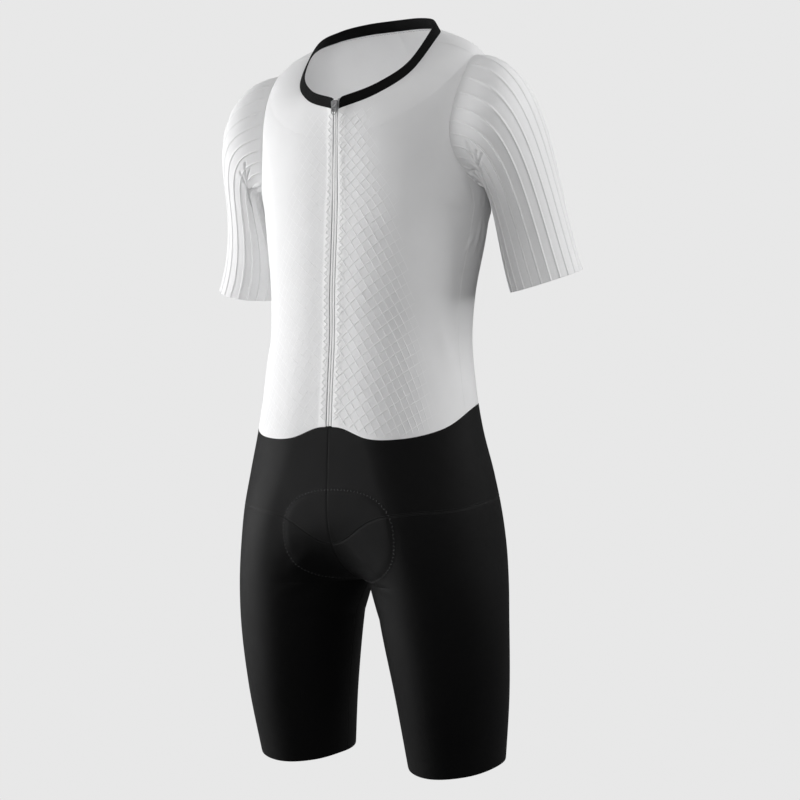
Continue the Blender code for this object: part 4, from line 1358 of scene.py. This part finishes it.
def seam_paths(on_shorts):
    """Shares and levels along every seam of half the upper, or half the shorts, and how far
    to each side of it a stitch row runs."""
    both = (SEAM_OFFSET, -SEAM_OFFSET)
    if on_shorts:
        across = np.linspace(*HIP_SEAM_SHARES, LONG_SEAM_POINTS)
        centre = np.linspace(level_of(WAIST_FRONT_Z) + SEAM_END_GAP, level_of(seam_height(0.0, "hip")),
                             SHORT_SEAM_POINTS)
        inseam = np.linspace(level_of(CROTCH_Z) + INSEAM_TOP_GAP,
                             level_of(seam_height(0.0, "hem")) - SEAM_END_GAP, INSEAM_POINTS)
        drop = np.linspace(*SIDE_SEAM_DROPS, SHORT_SEAM_POINTS)
        behind = BACK_SIDE_SHARES[1]
        waist = level_of(seam_height(behind, "waist"))
        hip = level_of(seam_height(behind, "hip"))
        return [(across, level_of(seam_height(across, "hip")), both),
                (np.zeros(SHORT_SEAM_POINTS), centre, both[:1]),
                (np.zeros(INSEAM_POINTS), inseam, both),
                (np.full(SHORT_SEAM_POINTS, behind), waist + (hip - waist) * drop, both)]
    armhole_share, armhole_level = armhole_at(np.linspace(0, 360, ARMHOLE_POINTS))
    across = np.linspace(WAIST_SEAM_START, 1.0, LONG_SEAM_POINTS)
    shoulder = np.linspace(SHOULDER_SEAM_START, ARMHOLE_TOP, SHOULDER_POINTS)
    round_neck = np.linspace(NECK_SEAM_START, 1.0, LONG_SEAM_POINTS)
    return [(*side_seam_rows(True), both), (*side_seam_rows(False), both),
            (armhole_share, armhole_level, ()), (across, level_of(seam_height(across, "waist")), ()),
            (np.full(SHOULDER_POINTS, ARMHOLE_SHARE), shoulder, both),
            (round_neck, np.zeros(LONG_SEAM_POINTS), ())]


def seam_rows(on_shorts):
    """Stitch rows beside the seams."""
    return [row_on_skin(share, level, side, SEAM_SPACING, 0.0, offset) for side in (1, -1)
            for share, level, offsets in seam_paths(on_shorts) for offset in offsets]


def add_seam_cords(white_thread, black_thread, line):
    """The looped thread that fills each seam between two panels."""
    for on_shorts, word, finish, slot in ((False, "white", white_thread, "white_knit"),
                                          (True, "black", black_thread, "black_knit")):
        lines = []
        for side in (1, -1):
            for share, level, _ in seam_paths(on_shorts):
                points, normals = skin_wall(share, level, side)
                lines.append(points - normals * SEAM_CORD_SUNK[on_shorts])
        grown(word + "_seam_loops", edge_mesh(word + "_seam_loops", lines), line, {"Radius": SEAM_CORD},
              finish)


def pad_rows():
    """Zigzag stitches round the seat pad, in front and behind."""
    rows = []
    turns = np.linspace(0, 2 * math.pi, PAD_POINTS)
    for front, row in ((True, PADS[0]), (False, PADS[1])):
        pad = dict(zip(PAD_COLUMNS, row))
        power = 2 / PAD_POWER
        x = pad["centre_x"] + pad["half_width"] * np.sign(np.sin(turns)) * np.abs(np.sin(turns))**power
        z = pad["centre_z"] + pad["half_height"] * np.sign(np.cos(turns)) * np.abs(np.cos(turns))**power
        z = np.maximum(z, CROTCH_Z + PAD_CROTCH_GAP)
        ends = (0, PAD_SIDE_SHARE) if front else (1, 1 - PAD_SIDE_SHARE)
        shares = np.linspace(*ends, LONG_SEAM_POINTS)
        points, normals = [], []
        for here_x, here_z in zip(x, z):
            side = 1 if here_x >= 0 else -1
            line = skin(shares, level_of(here_z))
            share = np.interp(abs(here_x), line[:, 0], shares)
            point, normal = skin_wall(np.array([share]), np.array([level_of(here_z)]), side)
            points.append(point[0])
            normals.append(normal[0])
        points, normals = np.array(points), np.array(normals)
        rows.append(row_on_points(points + normals * STITCH_LIFT, normals, PAD_SPACING))
    return rows


def cover_rows():
    """Zigzag cover stitch inside the suit, just below the neck band."""
    rows = []
    for side in (1, -1):
        share = np.linspace(COVER_START, 1.0, LONG_SEAM_POINTS)
        points, normals = skin_wall(share, np.full(LONG_SEAM_POINTS, COVER_LEVEL), side)
        rows.append(row_on_points(points - normals * (WALL + STITCH_LIFT), -normals, COVER_SPACING))
    return rows


def add_stitches(white_thread, black_thread, black_loops, grey_thread, stitch):
    """All the sewing."""
    for name, rows, size, swing, finish, slot in (
            ("white_seam_stitches", seam_rows(False), SEAM_STITCH, 0.0, white_thread, "white_knit"),
            ("black_seam_stitches", seam_rows(True), SEAM_STITCH, 0.0, black_loops, "black_knit"),
            ("seat_pad_stitches", pad_rows(), PAD_STITCH, PAD_SWING, black_thread, "black_knit"),
            ("neck_cover_stitches", cover_rows(), COVER_STITCH, COVER_SWING, grey_thread, "black_band")):
        grown(name, point_mesh(name + "_points", rows), stitch,
              {"Length": size[0], "Width": size[1], "Swing": math.radians(swing)}, finish)


def add_studio():
    """A pale floor that curves up into a round wall, lit softly, and the camera."""
    profile = [(0.0, FLOOR_Z)]
    for k in range(COVE_STEPS + 1):
        angle = math.pi / 2 * k / COVE_STEPS
        profile.append((STUDIO_RADIUS - STUDIO_COVE + STUDIO_COVE * math.sin(angle),
                        FLOOR_Z + STUDIO_COVE * (1 - math.cos(angle))))
    profile.append((STUDIO_RADIUS, STUDIO_TOP))
    profile.append((0.0, STUDIO_TOP))
    points, faces = [], []
    for turn in range(STUDIO_TURNS):
        angle = 2 * math.pi * turn / STUDIO_TURNS
        points += [(r * math.cos(angle), r * math.sin(angle), z) for r, z in profile]
    size = len(profile)
    for turn in range(STUDIO_TURNS):
        a, b = turn * size, (turn + 1) % STUDIO_TURNS * size
        faces += [(a + k, a + k + 1, b + k + 1, b + k) for k in range(size - 1)]
    mesh = bpy.data.meshes.new("studio")
    mesh.from_pydata(points, [], faces)
    form = bmesh.new()
    form.from_mesh(mesh)
    bmesh.ops.remove_doubles(form, verts=form.verts, dist=0.0001)
    form.to_mesh(mesh)
    form.free()
    mesh.shade_smooth()
    finish = bpy.data.materials.new("studio_grey")
    finish.use_nodes = True
    tree = finish.node_tree
    tree.nodes.clear()
    glow = tree.nodes.new("ShaderNodeEmission")
    ray = tree.nodes.new("ShaderNodeLightPath")
    strength = math_node(tree, "ADD", math_node(tree, "MULTIPLY", ray.outputs["Is Camera Ray"],
                                                BACKDROP_SEEN - STUDIO_GLOW), STUDIO_GLOW)
    tree.links.new(strength, glow.inputs["Strength"])
    out = tree.nodes.new("ShaderNodeOutputMaterial")
    tree.links.new(glow.outputs[0], out.inputs["Surface"])
    studio = finished_object("studio", mesh, finish)

    for name, place, aim, across, up, watts in LIGHTS:
        lamp = bpy.data.lights.new(name, "AREA")
        lamp.shape = "RECTANGLE"
        lamp.size = across
        lamp.size_y = up
        lamp.energy = watts
        holder = bpy.data.objects.new(name, lamp)
        holder.location = place
        holder.rotation_euler = (Vector(aim) - Vector(place)).to_track_quat("-Z", "Y").to_euler()
        holder.visible_camera = False
        bpy.context.scene.collection.objects.link(holder)

    world = bpy.data.worlds.new("studio_air")
    bpy.context.scene.world = world
    camera = bpy.data.objects.new("camera", bpy.data.cameras.new("camera"))
    camera.data.sensor_width = CAMERA_SENSOR
    camera.data.lens = CAMERA_LENS
    camera.location = CAMERA_PLACE
    camera.rotation_euler = (math.pi / 2, 0, math.radians(CAMERA_TURN))
    bpy.context.scene.collection.objects.link(camera)
    bpy.context.scene.camera = camera
    bpy.context.scene.view_settings.view_transform = "Standard"


def main():
    """Builds the suit's finished look in its studio."""
    add_studio()
    # The single layer is greyer than the backed tone: painted shade for the dark inside seen through the
    # mesh, partly the strip's real second layer
    white = knit_finish("white_mesh_knit", (0.76, 0.76, 0.765), (0.86, 0.86, 0.865), 0.0011, 0.0009,
                        0.00022, 0.72, 0.10, 0.5, shine=0.3, backed=(0.90, 0.90, 0.90))
    ribbed = knit_finish("white_ribbed_knit", (0.76, 0.76, 0.765), (0.87, 0.87, 0.875), 0.0009, 0.0008,
                         0.00018, 0.72, 0.10, 0.5, shine=0.3)
    # The lattice and placket lines are lighter than the body: painted highlight, so the thin ridges read as
    # light lines
    raised = knit_finish("lattice_knit_painted_highlight", (0.84, 0.84, 0.845), (0.92, 0.92, 0.925), 0.0009, 0.0008,
                         0.00008, 0.66, 0.10, 0.5, shine=0.3)
    black = knit_finish("black_stretch_knit", (0.0012, 0.0012, 0.0013), (0.0030, 0.0030, 0.0032), 0.0007,
                        0.0006, 0.00012, 0.56, 0.018, 0.42, shine=0.085)
    band = knit_finish("black_elastic_knit", (0.0020, 0.0020, 0.0021), (0.0046, 0.0046, 0.0048), 0.0010,
                       0.0008, 0.00020, 0.55, 0.012, 0.30, shine=0.06)
    # The tape is mid grey, not white: painted shade, so the narrow gaps beside the coil rows read dark
    tape = knit_finish("white_woven_tape", (0.40, 0.40, 0.41), (0.52, 0.52, 0.53), 0.0008, 0.0006,
                       0.00015, 0.70, 0.1, 0.5, shine=0.3)
    coil = thread_finish("white_zip_coil", (0.80, 0.80, 0.80), (0.90, 0.90, 0.90), 0.42)
    white_thread = thread_finish("white_thread", (0.74, 0.74, 0.74), (0.86, 0.86, 0.86), 0.6)
    # The seat pad thread is lighter than the black cloth: painted highlight, so its stitches show as
    # glinting dots
    black_thread = thread_finish("black_thread", (0.028, 0.028, 0.029), (0.060, 0.060, 0.062), 0.40)
    black_loops = thread_finish("black_seam_thread", (0.0010, 0.0010, 0.0011), (0.0026, 0.0026, 0.0028), 0.6)
    grey_thread = thread_finish("grey_thread", (0.20, 0.20, 0.20), (0.34, 0.34, 0.34), 0.6)
    metal = metal_finish()

    stitch = stitch_tree()
    cloth = add_cloth(white, ribbed, black, band)
    zip_pieces = add_zip(tape, coil, stitch)
    sweep = line_tree()
    lines = add_lines(raised, sweep)
    add_seam_cords(white_thread, black_loops, sweep)
    add_stitches(white_thread, black_thread, black_loops, grey_thread, stitch)
    cloth.update({name: piece for name, piece in zip_pieces.items() if name.startswith("zip_tape")})
    for node, piece in cloth.items():
        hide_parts(node)
    for name in ("zip_chain", "coil_row_left", "coil_row_right"):
        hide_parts("zip_chain")
    for node in ("zip_slider", "zip_pull"):
        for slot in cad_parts[node].material_slots:
            slot.material = metal


main()
